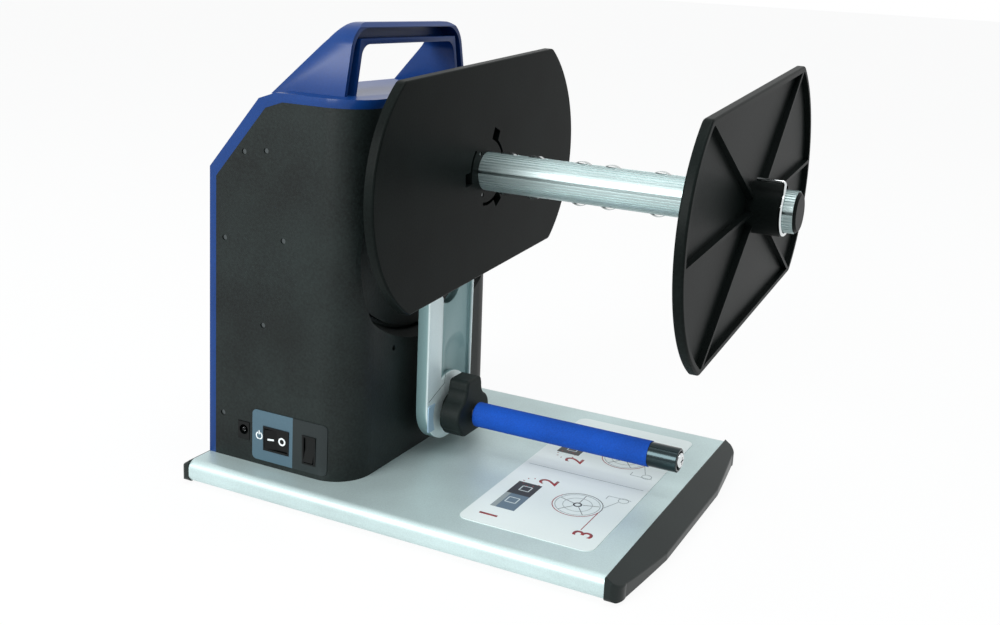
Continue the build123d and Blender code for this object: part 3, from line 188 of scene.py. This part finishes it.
# ---------------------------------------------------------------- base plate
# Extruded aluminium, blasted and clear anodised, cut to length. Blasting leaves a fine even
# sparkle on the top, and the round long edges run bright.
def give(material, *names):
    """Gives CAD nodes a material."""
    for name in names:
        mesh = nodes[name].data
        mesh.materials.clear()
        mesh.materials.append(material)


cloud_scale = 24.0


def grained_surface(tree, colour, grain_mm, sparkle, relief_mm, finish):
    """A surface whose brightness and relief vary with a fine grain and slow clouds.

    Colour is a hex value or a socket, and finish holds the shader's own plain values.
    """
    place = add_node(tree, "ShaderNodeTexCoord")
    grain = add_node(
        tree,
        "ShaderNodeTexNoise",
        {
            "Vector": place.outputs["Object"],
            "Scale": 1 / (grain_mm * MM),
            "Detail": 2.5,
            "Roughness": 0.6,
        },
    )
    cloud = add_node(
        tree,
        "ShaderNodeTexNoise",
        {"Vector": place.outputs["Object"], "Scale": cloud_scale, "Detail": 2.0},
    )
    both = add_node(
        tree,
        "ShaderNodeMath",
        {0: grain.outputs["Fac"], 1: cloud.outputs["Fac"]},
        operation="ADD",
    )
    tone = add_node(
        tree,
        "ShaderNodeMapRange",
        {
            "Value": both.outputs[0],
            "From Min": 0.7,
            "From Max": 1.3,
            "To Min": 1 - sparkle,
            "To Max": 1 + sparkle,
        },
    )
    plain = colour if isinstance(colour, bpy.types.NodeSocket) else hex_colour(colour)[:3]
    shade = add_node(
        tree, "ShaderNodeVectorMath", {0: plain, "Scale": tone.outputs[0]}, operation="SCALE"
    )
    relief = add_node(
        tree,
        "ShaderNodeBump",
        {"Height": grain.outputs["Fac"], "Strength": 0.6, "Distance": relief_mm * MM},
    )
    surface = add_node(
        tree,
        "ShaderNodeBsdfPrincipled",
        {"Base Color": shade.outputs[0], "Normal": relief.outputs[0], **finish},
    )
    add_node(tree, "ShaderNodeOutputMaterial", {"Surface": surface.outputs[0]})


# Blasted, clear anodised aluminium: a pale cool satin with a fine sparkle and no mirror image.
blasted_aluminium, tree = new_material("blasted_aluminium")
grained_surface(
    tree,
    "#BFD2D2",
    grain_mm=0.7,
    sparkle=0.1,
    relief_mm=0.014,
    finish={"Metallic": 0.42, "Roughness": 0.42},
)
give(blasted_aluminium, "base_plate", "bearing_carrier")

# ---------------------------------------------------------------- end caps
# Two dark ABS mouldings with a smooth satin face, pushed into the open ends of the plate's
# extrusion, which they close and round off.

# Smooth moulded ABS: nearly black, with a soft sheen along its rounded top edge.
satin_abs, tree = new_material("satin_abs")
grained_surface(
    tree,
    "#1A2221",
    grain_mm=0.9,
    sparkle=0.15,
    relief_mm=0.03,
    finish={"Roughness": 0.34, "Specular IOR Level": 0.22},
)
give(satin_abs, "base_end_cap_left", "base_end_cap_right")

# ---------------------------------------------------------------- feet and steel parts
# The feet are rubber discs stuck under the plate. The screws, shafts and folded sheet that hold
# the machine together are zinc plated steel.

# Moulded rubber: dull and even.
foot_rubber, tree = new_material("foot_rubber")
grained_surface(
    tree, "#1B1C1C", grain_mm=0.6, sparkle=0.05, relief_mm=0.03, finish={"Roughness": 0.8}
)
give(foot_rubber, "rubber_feet")


def plain_metal(name, colour, roughness, marks_mm=0.5, along=(1.0, 1.0, 1.0), depth=0.06):
    """Bare metal with fine tool marks, which vary its gloss and relief and may run one way."""
    material, tree = new_material(name)
    place = add_node(tree, "ShaderNodeTexCoord")
    stretch = add_node(
        tree, "ShaderNodeMapping", {"Vector": place.outputs["Object"], "Scale": along}
    )
    marks = add_node(
        tree,
        "ShaderNodeTexNoise",
        {"Vector": stretch.outputs[0], "Scale": 1 / (marks_mm * MM), "Detail": 3.0},
    )
    gloss = add_node(
        tree,
        "ShaderNodeMapRange",
        {"Value": marks.outputs["Fac"], "To Min": roughness - depth, "To Max": roughness + depth},
    )
    relief = add_node(
        tree,
        "ShaderNodeBump",
        {"Height": marks.outputs["Fac"], "Strength": 0.3, "Distance": 0.02 * MM},
    )
    surface = add_node(
        tree,
        "ShaderNodeBsdfPrincipled",
        {
            "Base Color": hex_colour(colour),
            "Metallic": 1.0,
            "Roughness": gloss.outputs[0],
            "Normal": relief.outputs[0],
        },
    )
    add_node(tree, "ShaderNodeOutputMaterial", {"Surface": surface.outputs[0]})
    return material


# Zinc plated steel: grey and bright, with a slightly blurred gleam.
zinc_steel = plain_metal("zinc_plated_steel", "#A9AEB0", 0.35)
give(
    zinc_steel,
    "base_screws",
    "chassis_frame",
    "carrier_screws",
    "spindle_bearings",
    "arm_retaining_ring",
    "motor_plate",
    "spacer_screws",
    "gear_motor",
    "motor_screws",
    "motor_shaft",
    "spindle_shaft",
    "flange_screws",
    "arm_stop_pin",
    "roller_shaft",
    "stud_nut",
)


# ---------------------------------------------------------------- threading label
# A white printed polyester film, stuck on the plate, with a line across its middle. The print is
# generic: step numbers in dark red, a switch panel, and a roll whose web runs to a small roller.
def add_piece(name, build, material, body):
    """Makes a finished piece of a bmesh: outward faces, a material and a body."""
    bmesh.ops.remove_doubles(build, verts=build.verts, dist=1e-7)
    bmesh.ops.recalc_face_normals(build, faces=build.faces)
    mesh = bpy.data.meshes.new(name)
    build.to_mesh(mesh)
    build.free()
    mesh.materials.append(material)
    piece = bpy.data.objects.new(name, mesh)
    scene.collection.objects.link(piece)
    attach(piece, body)


def add_bar(build, start, end, width):
    """A flat bar on the XY plane from one point to another, in millimetres."""
    start, end = Vector((*start, 0)), Vector((*end, 0))
    run = end - start
    turn = run.to_track_quat("X", "Z").to_matrix().to_4x4()
    place = Matrix.Translation((start + end) / 2 * MM) @ turn
    size = Matrix.Diagonal((run.length * MM, width * MM, 1, 1))
    bmesh.ops.create_grid(build, x_segments=1, y_segments=1, size=0.5, matrix=place @ size)


def add_ring(build, centre, radius, width, start=0.0, turn=360.0):
    """A flat ring, or a part of one, on the XY plane, in millimetres and degrees."""
    middle = Vector((*centre, 0)) * MM
    ray = Vector((cos(radians(start)), sin(radians(start)), 0))
    inner = build.verts.new(middle + ray * (radius - width / 2) * MM)
    outer = build.verts.new(middle + ray * (radius + width / 2) * MM)
    edge = build.edges.new((inner, outer))
    bmesh.ops.spin(
        build,
        geom=[inner, outer, edge],
        cent=middle,
        axis=(0, 0, 1),
        angle=radians(turn),
        steps=max(6, round(turn / 12)),
        use_merge=turn == 360.0,
    )


def add_square(build, centre, size, width):
    """The outline of a square on the XY plane, in millimetres."""
    half = size / 2
    steps = ((-half, -half), (half, -half), (half, half), (-half, half))
    corners = [(centre[0] + along, centre[1] + across) for along, across in steps]
    for corner in range(4):
        add_bar(build, corners[corner], corners[(corner + 1) % 4], width)


digit_height_share = 0.69
digit_swell_share = 0.012


def add_number(build, digit, centre, height):
    """A digit on the XY plane, its top towards -X as the rest of the label's print."""
    text = bpy.data.curves.new("digit", "FONT")
    text.body = digit
    text.size = height * MM / digit_height_share
    text.align_x = "CENTER"
    text.offset = digit_swell_share * height * MM
    holder = bpy.data.objects.new("digit", text)
    outline = bpy.data.meshes.new_from_object(holder)
    bpy.data.objects.remove(holder)
    figure = bmesh.new()
    figure.from_mesh(outline)
    turned = Matrix.Translation(Vector((*centre, 0)) * MM) @ Matrix.Rotation(pi / 2, 4, "Z")
    bmesh.ops.transform(
        figure, matrix=turned @ Matrix.Translation((0, -height * MM / 2, 0)), verts=figure.verts
    )
    figure.to_mesh(outline)
    figure.free()
    build.from_mesh(outline)


def lay_print(build, matrix, thick):
    """Gives flat print its thickness and places it on its surface."""
    bmesh.ops.recalc_face_normals(build, faces=build.faces)
    raised = bmesh.ops.extrude_face_region(build, geom=build.faces[:], use_keep_orig=True)
    top = [part for part in raised["geom"] if isinstance(part, bmesh.types.BMVert)]
    bmesh.ops.translate(build, verts=top, vec=(0, 0, thick * MM))
    bmesh.ops.transform(build, matrix=matrix, verts=build.verts)


# Printed polyester film: almost white and even, with a quiet sheen.
label_film, tree = new_material("printed_film")
grained_surface(
    tree, "#E0EAE9", grain_mm=0.9, sparkle=0.015, relief_mm=0.004, finish={"Roughness": 0.32}
)
give(label_film, "threading_label")

label_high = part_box("threading_label")[1]
label_top = Matrix.Translation((0, 0, label_high[2]))
ink_thick = 0.05
ink_step = 0.01


def print_ink(name, colour):
    """Screen ink on film: matt, with a faint unevenness."""
    material, tree = new_material(name)
    grained_surface(
        tree, colour, grain_mm=0.8, sparkle=0.06, relief_mm=0.004, finish={"Roughness": 0.5}
    )
    return material


# Both halves have the same drawing, mirrored about the line between them. A half gives the way
# that its drawing runs and its middle, and places in it are along the plate and across it.
label_halves = ((1, -43.0), (-1, 43.0))
digit_height = 11
digit_places = (("1", 51, -30.5), ("2", 62, 24.5), ("3", 106, -25))
roll_place = (89, 6)
roll_radius = 14.6
spokes, spoke_inner, spoke_outer = 5, 3, 12.6
small_roll_place = (110, 24)
panel_along, panel_length, panel_width = 54, 20, 15
dial_ticks, dial_inner, dial_outer = 9, 5.0, 6.2
line = 0.4

blue_print, black_print, grey_print, red_print, pale_print = (bmesh.new() for ink in range(5))
for side, middle in label_halves:
    for digit, along, across in digit_places:
        add_number(red_print, digit, (along, middle + side * across), digit_height)

    roll = (roll_place[0], middle + side * roll_place[1])
    for ink, radius, width, start, turn in (
        (red_print, roll_radius, 0.5, 150, 200),
        (black_print, roll_radius, 0.45, -10, 160),
        (grey_print, 13.0, 0.35, 0, 360),
        (grey_print, 8.5, 0.3, 0, 360),
        (black_print, 2.2, 1.0, 0, 360),
    ):
        add_ring(ink, roll, radius, width, start, turn)
    for spoke in range(spokes):
        angle = radians(18 + 360 / spokes * spoke)
        ray = (cos(angle), sin(angle))
        ends = [
            (roll[0] + reach * ray[0], roll[1] + reach * ray[1])
            for reach in (spoke_inner, spoke_outer)
        ]
        add_bar(black_print, *ends, 0.35)

    small_roll = (small_roll_place[0], middle + side * small_roll_place[1])
    frame_across = middle + side * 26
    add_ring(grey_print, small_roll, 3.0, line)
    add_bar(
        grey_print,
        (roll[0] + 14.5, roll[1] + side * 4),
        (small_roll[0] - 2, small_roll[1] - side * 3),
        line,
    )
    add_bar(grey_print, (100, frame_across), (114, frame_across), line)
    add_bar(grey_print, (100, middle + side * 21.5), (100, frame_across), line)
    add_bar(red_print, (roll[0] + 14.2, roll[1] - side * 4), (103, middle - side * 21), 0.5)

    dial_across = middle + side * 19
    for tick in range(dial_ticks):
        angle = radians(20 + 360 / dial_ticks * tick)
        ends = [
            (panel_along + reach * cos(angle), dial_across + reach * sin(angle))
            for reach in (dial_inner, dial_outer)
        ]
        add_bar(red_print, *ends, 0.6)

    panel_end = middle - side * panel_length
    add_bar(black_print, (panel_along, middle), (panel_along, middle + side * 17), panel_width)
    add_bar(blue_print, (panel_along, panel_end), (panel_along, middle), panel_width)
    add_bar(grey_print, (48.2, panel_end), (48.2, middle), 3.2)
    for across, size in ((-8, 6.5), (9, 6.0)):
        add_square(pale_print, (54.5, middle + side * across), size, 0.7)
add_bar(grey_print, (40, 0), (115, 0), 0.35)

ink_layers = (
    ("label_print_blue", blue_print, "blue_grey_ink", "#5A6F7E"),
    ("label_print_black", black_print, "black_ink", "#25292C"),
    ("label_print_grey", grey_print, "grey_ink", "#8C9798"),
    ("label_print_red", red_print, "dark_red_ink", "#8E3136"),
    ("label_print_pale", pale_print, "pale_ink", "#C3CED0"),
)
for layer, (name, drawing, ink, colour) in enumerate(ink_layers):
    lift = Matrix.Translation((0, 0, layer * ink_step * MM))
    lay_print(drawing, lift @ label_top, ink_thick)
    add_piece(name, drawing, print_ink(ink, colour), "base")

# ---------------------------------------------------------------- housing shell and recess plate
# The shell is one ABS moulding, open at the back, screwed to the frame through its sides. The
# plate in its front recess is moulded of the same plastic.

# ABS from a spark-eroded mould: dull black, and its grain scatters the light. The real grain is
# too fine to show at this size, so it is drawn coarser.
spark_textured_abs, tree = new_material("spark_textured_abs")
grained_surface(
    tree,
    "#161D1C",
    grain_mm=1.5,
    sparkle=0.5,
    relief_mm=0.14,
    finish={"Roughness": 0.48, "Specular IOR Level": 0.2},
)
give(spark_textured_abs, "housing_shell", "recess_plate")

# Phosphated steel: a dark grey that glints in the screw holes.
phosphated_steel = plain_metal("phosphated_steel", "#565C5D", 0.32)
give(phosphated_steel, "housing_screws")

# ---------------------------------------------------------------- spine cover and handle
# One blue ABS moulding closes the shell's open back and top: back wall, shoulder, top and the
# handle. Its edges are softly rounded, which the solid leaves sharp.

# Polished ABS: deep blue, with a broad soft gloss and a slight unevenness of the moulding.
blue_gloss_abs, tree = new_material("blue_gloss_abs")
grained_surface(
    tree,
    "#0E3570",
    grain_mm=1.4,
    sparkle=0.1,
    relief_mm=0.04,
    finish={"Roughness": 0.3, "Specular IOR Level": 0.25},
)


def soften(node, width_mm, material, body):
    """Replaces a CAD node by a copy of it whose sharp edges are rounded."""
    shell = bmesh.new()
    shell.from_mesh(nodes[node].data)
    bmesh.ops.remove_doubles(shell, verts=shell.verts, dist=0.002 * MM)
    bmesh.ops.dissolve_limit(
        shell,
        angle_limit=radians(0.5),
        verts=shell.verts,
        edges=shell.edges,
        delimit={"NORMAL"},
    )
    mesh = bpy.data.meshes.new(node + "_soft")
    shell.to_mesh(mesh)
    shell.free()
    mesh.materials.append(material)
    mesh.shade_smooth()
    piece = bpy.data.objects.new(node + "_soft", mesh)
    scene.collection.objects.link(piece)
    rounding = piece.modifiers.new("rounding", "BEVEL")
    rounding.width = width_mm * MM
    rounding.segments = 3
    rounding.limit_method = "ANGLE"
    rounding.angle_limit = radians(35)
    rounding.harden_normals = True
    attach(piece, body)
    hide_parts(node)


soften("spine_cover", 1.3, blue_gloss_abs, "base")

# ---------------------------------------------------------------- inside the housing
# Turned brass spacers, standoffs, bushes and pinion, a glass-fibre control board and a moulded
# acetal gear. They are screwed or pressed in place and don't show from outside.

# Turned brass: warm yellow with a soft gleam.
turned_brass = plain_metal("turned_brass", "#B59A5C", 0.3)
give(
    turned_brass,
    "gearbox_spacers",
    "board_standoffs",
    "arm_bush",
    "roller_bushes",
    "motor_pinion",
)

# Solder resist on glass fibre: green with a low gloss.
board_resist, tree = new_material("board_resist")
grained_surface(
    tree, "#1F5A3A", grain_mm=0.8, sparkle=0.05, relief_mm=0.01, finish={"Roughness": 0.35}
)
give(board_resist, "control_board")

# Acetal: creamy white, waxy and even.
acetal, tree = new_material("acetal")
grained_surface(
    tree, "#D9D6C8", grain_mm=0.8, sparkle=0.03, relief_mm=0.01, finish={"Roughness": 0.4}
)
give(acetal, "spindle_gear")

# ---------------------------------------------------------------- switch panel and inlet
# A film stuck on the near wall, blue-grey round the power switch and dark round the other one.
# The switches and the inlet are black mouldings that snap into the wall, the inlet round a pin.
panel_split = -72.5 * MM

# Printed film in two tones: satin, with the printed edge between them crisp.
panel_film, tree = new_material("panel_film")
place = add_node(tree, "ShaderNodeTexCoord")
axes = add_node(tree, "ShaderNodeSeparateXYZ", {0: place.outputs["Object"]})
beyond = add_node(
    tree, "ShaderNodeMath", {0: axes.outputs["X"], 1: panel_split}, operation="GREATER_THAN"
)
two_tone = add_node(
    tree,
    "ShaderNodeMix",
    {"Factor": beyond.outputs[0], "A": hex_colour("#47606D"), "B": hex_colour("#1B2324")},
    data_type="RGBA",
)
grained_surface(
    tree,
    two_tone.outputs["Result"],
    grain_mm=0.9,
    sparkle=0.06,
    relief_mm=0.01,
    finish={"Roughness": 0.45, "Specular IOR Level": 0.3},
)
give(panel_film, "switch_panel")

# Moulded switch plastic: deep black with a tight low gloss.
switch_abs, tree = new_material("switch_abs")
grained_surface(
    tree,
    "#0A0D0D",
    grain_mm=0.8,
    sparkle=0.1,
    relief_mm=0.01,
    finish={"Roughness": 0.3, "Specular IOR Level": 0.18},
)
give(
    switch_abs,
    "dc_jack",
    "power_switch_body",
    "direction_switch_body",
    "power_rocker",
    "direction_rocker",
)

# Nickel plated brass: a bright glint in the dark inlet.
bright_pin = plain_metal("nickel_plated_pin", "#DADFE0", 0.15)
pin_radius, pin_length, pin_depth, pin_lift = 1.15, 7.4, 4.2, 0.6
jack_low, jack_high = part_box("dc_jack")
pin_place = (
    (jack_low[0] + jack_high[0]) / 2,
    jack_low[1] + pin_depth * MM,
    (jack_low[2] + jack_high[2]) / 2 + pin_lift * MM,
)
pin = bmesh.new()
bmesh.ops.create_cone(
    pin,
    cap_ends=True,
    segments=20,
    radius1=pin_radius * MM,
    radius2=pin_radius * MM,
    depth=pin_length * MM,
    matrix=Matrix.Translation(pin_place) @ Matrix.Rotation(pi / 2, 4, "X"),
)
add_piece("inlet_pin", pin, bright_pin, "base")

# ---------------------------------------------------------------- switch marks
# White ink on the panel and on the power rocker: the usual standby sign beside the switch, and a
# bar and a ring for on and off, pad printed on the rocker's two flats.
white_ink = print_ink("white_ink", "#E8EEEF")
wall_foot_half, wall_foot_height, wall_draft = 86.0, 15.6, 0.0232


def wall_matrix(x_mm, z_mm, proud_mm):
    """A frame on the near wall: its x along +X, its y up, its z outwards."""
    wall = -(wall_foot_half - wall_draft * (z_mm - wall_foot_height)) - proud_mm
    return Matrix(
        ((1, 0, 0, x_mm * MM), (0, 0, -1, wall * MM), (0, 1, 0, z_mm * MM), (0, 0, 0, 1))
    )


standby = bmesh.new()
add_ring(standby, (0, 0), 2.1, 0.75, 115, 310)
add_bar(standby, (0, 0.8), (0, 3.2), 0.75)
lay_print(standby, wall_matrix(-96.6, 33.8, 0.5), ink_thick)
add_piece("standby_mark", standby, white_ink, "base")

rocker_x, rocker_z, rocker_sink = -84.3, 33.0, 1.2
rocker_turn = radians(7)
rocker_crown = 1.13
flat_tilt = 0.1163

bar_mark = bmesh.new()
add_bar(bar_mark, (-5.9, 0), (-1.9, 0), 1.1)
lay_print(bar_mark, Matrix.Rotation(flat_tilt, 4, "Y"), ink_thick)
round_mark = bmesh.new()
add_ring(round_mark, (3.6, 0), 2.0, 1.0)
lay_print(round_mark, Matrix.Rotation(-flat_tilt, 4, "Y"), ink_thick)
round_mesh = bpy.data.meshes.new("round_mark")
round_mark.to_mesh(round_mesh)
round_mark.free()
bar_mark.from_mesh(round_mesh)
rocker_place = (
    wall_matrix(rocker_x, rocker_z, -rocker_sink)
    @ Matrix.Rotation(rocker_turn, 4, "Y")
    @ Matrix.Translation((0, 0, rocker_crown * MM))
)
bmesh.ops.transform(bar_mark, matrix=rocker_place, verts=bar_mark.verts)
add_piece("rocker_marks", bar_mark, white_ink, "power_rocker")

# ---------------------------------------------------------------- core tube and its springs
# An aluminium extrusion with flutes and T-slots, cut to length and carried by the spindle. The
# leaves that grip a label core are bent spring steel strip, held in its slots.

# Clear anodised extrusion: pale satin metal that keeps bright flute edges but no mirror image.
anodised_tube, tree = new_material("anodised_tube")
grained_surface(
    tree,
    "#B7C8C8",
    grain_mm=0.7,
    sparkle=0.1,
    relief_mm=0.01,
    finish={"Metallic": 0.6, "Roughness": 0.36},
)
give(anodised_tube, "core_tube", "roller_tube")

# Rolled spring steel: bright, with a sharp gleam along each bend.
spring_steel = plain_metal("spring_steel", "#B4BABA", 0.2)
give(spring_steel, "core_springs")

# ---------------------------------------------------------------- flanges, plug and clip
# Two glass-filled nylon mouldings, the inner one screwed to the spindle's disc and the outer one
# free to slide. The clip is bent wire sprung round the hub, and a moulded plug ends the tube.

# Glass-filled nylon: near black, with a fine mottle where the fibres lie near the surface.
satin_nylon, tree = new_material("satin_nylon")
grained_surface(
    tree,
    "#0F1413",
    grain_mm=1.3,
    sparkle=0.35,
    relief_mm=0.06,
    finish={"Roughness": 0.4, "Specular IOR Level": 0.05},
)
give(satin_nylon, "inner_flange", "outer_flange", "tube_end_plug")

# Chrome on wire and on the roller's end screw: small mirror glints.
chrome = plain_metal("chrome", "#D9DEDF", 0.1, marks_mm=1.0, depth=0.03)
give(chrome, "flange_clip", "roller_end_screw")

# ---------------------------------------------------------------- tension arm
# An ABS moulding sprayed silver, which turns on a bush about the spindle. Its raised front faces
# have a painted highlight, and its sides and trough painted shade. The pad at its foot is pale
# blue rubber.
arm_front = -18.0
painted_highlight_above, painted_shade_below = arm_front - 0.2, arm_front - 1.6

# Silver spray paint: a fine pale metal flake, with painted shade on the sides and trough
# and a painted highlight on the raised front faces.
silver_spray_painted_shade, tree = new_material("silver_spray_painted_shade")
place = add_node(tree, "ShaderNodeTexCoord")
axes = add_node(tree, "ShaderNodeSeparateXYZ", {0: place.outputs["Object"]})
# Mask for the painted shade: it runs from the arm's deep sides and trough to its raised front,
# along X.
height = add_node(
    tree,
    "ShaderNodeMapRange",
    {
        "Value": axes.outputs["X"],
        "From Min": painted_shade_below * MM,
        "From Max": painted_highlight_above * MM,
    },
    interpolation_type="SMOOTHSTEP",
)
# The deep colour is painted shade and the bright colour a painted highlight.
painted_shade_to_highlight = add_node(
    tree,
    "ShaderNodeMix",
    {"Factor": height.outputs[0], "A": hex_colour("#8BAAAC"), "B": hex_colour("#E8F6F7")},
    data_type="RGBA",
)
grained_surface(
    tree,
    painted_shade_to_highlight.outputs["Result"],
    grain_mm=0.7,
    sparkle=0.05,
    relief_mm=0.012,
    finish={"Metallic": 0.15, "Roughness": 0.38},
)
soften("tension_arm", 0.6, silver_spray_painted_shade, "arm")

# The seam between the ledge and the foot is a fine dark line.
seam_shadow = print_ink("seam_shadow", "#47575A")
seam_width = 0.4
seam = bmesh.new()
add_bar(seam, (-5.5, 64.4), (-6.5, 58.2), seam_width)
add_bar(seam, (-6.4, 58.3), (-24.9, 51.2), seam_width)
arm_face = Matrix(((0, 0, 1, arm_front * MM), (1, 0, 0, 0), (0, 1, 0, 0), (0, 0, 0, 1)))
lay_print(seam, arm_face, ink_thick)
add_piece("arm_seam", seam, seam_shadow, "arm")

# Moulded rubber of a pale blue: smooth and a little waxy.
pale_pad, tree = new_material("pale_pad")
grained_surface(
    tree, "#A9C6DA", grain_mm=0.8, sparkle=0.03, relief_mm=0.01, finish={"Roughness": 0.4}
)
give(pale_pad, "arm_pad")

# ---------------------------------------------------------------- roller and knob
# A sleeve of foam on an aluminium tube that turns on a stud, with a plated collar pressed on its
# end. The knob is a nylon moulding that turns on the same stud.

# Closed-cell foam: strong blue and dead matt, with its fine cells drawn coarse enough to show.
blue_foam, tree = new_material("closed_cell_foam")
grained_surface(
    tree,
    "#0B49AA",
    grain_mm=0.9,
    sparkle=0.22,
    relief_mm=0.16,
    finish={"Roughness": 0.8, "Specular IOR Level": 0.25},
)
give(blue_foam, "roller_foam")

# Black nickel plate: a dark mirror with fine marks along the roller.
black_nickel = plain_metal("black_nickel", "#303A3C", 0.2, along=(0.05, 1, 1), depth=0.05)
give(black_nickel, "roller_collar")

# Moulded nylon: matt dark grey with a visible mould grain.
knob_nylon, tree = new_material("knob_nylon")
grained_surface(
    tree,
    "#1B2322",
    grain_mm=1.0,
    sparkle=0.35,
    relief_mm=0.08,
    finish={"Roughness": 0.55, "Specular IOR Level": 0.14},
)
give(knob_nylon, "star_knob")
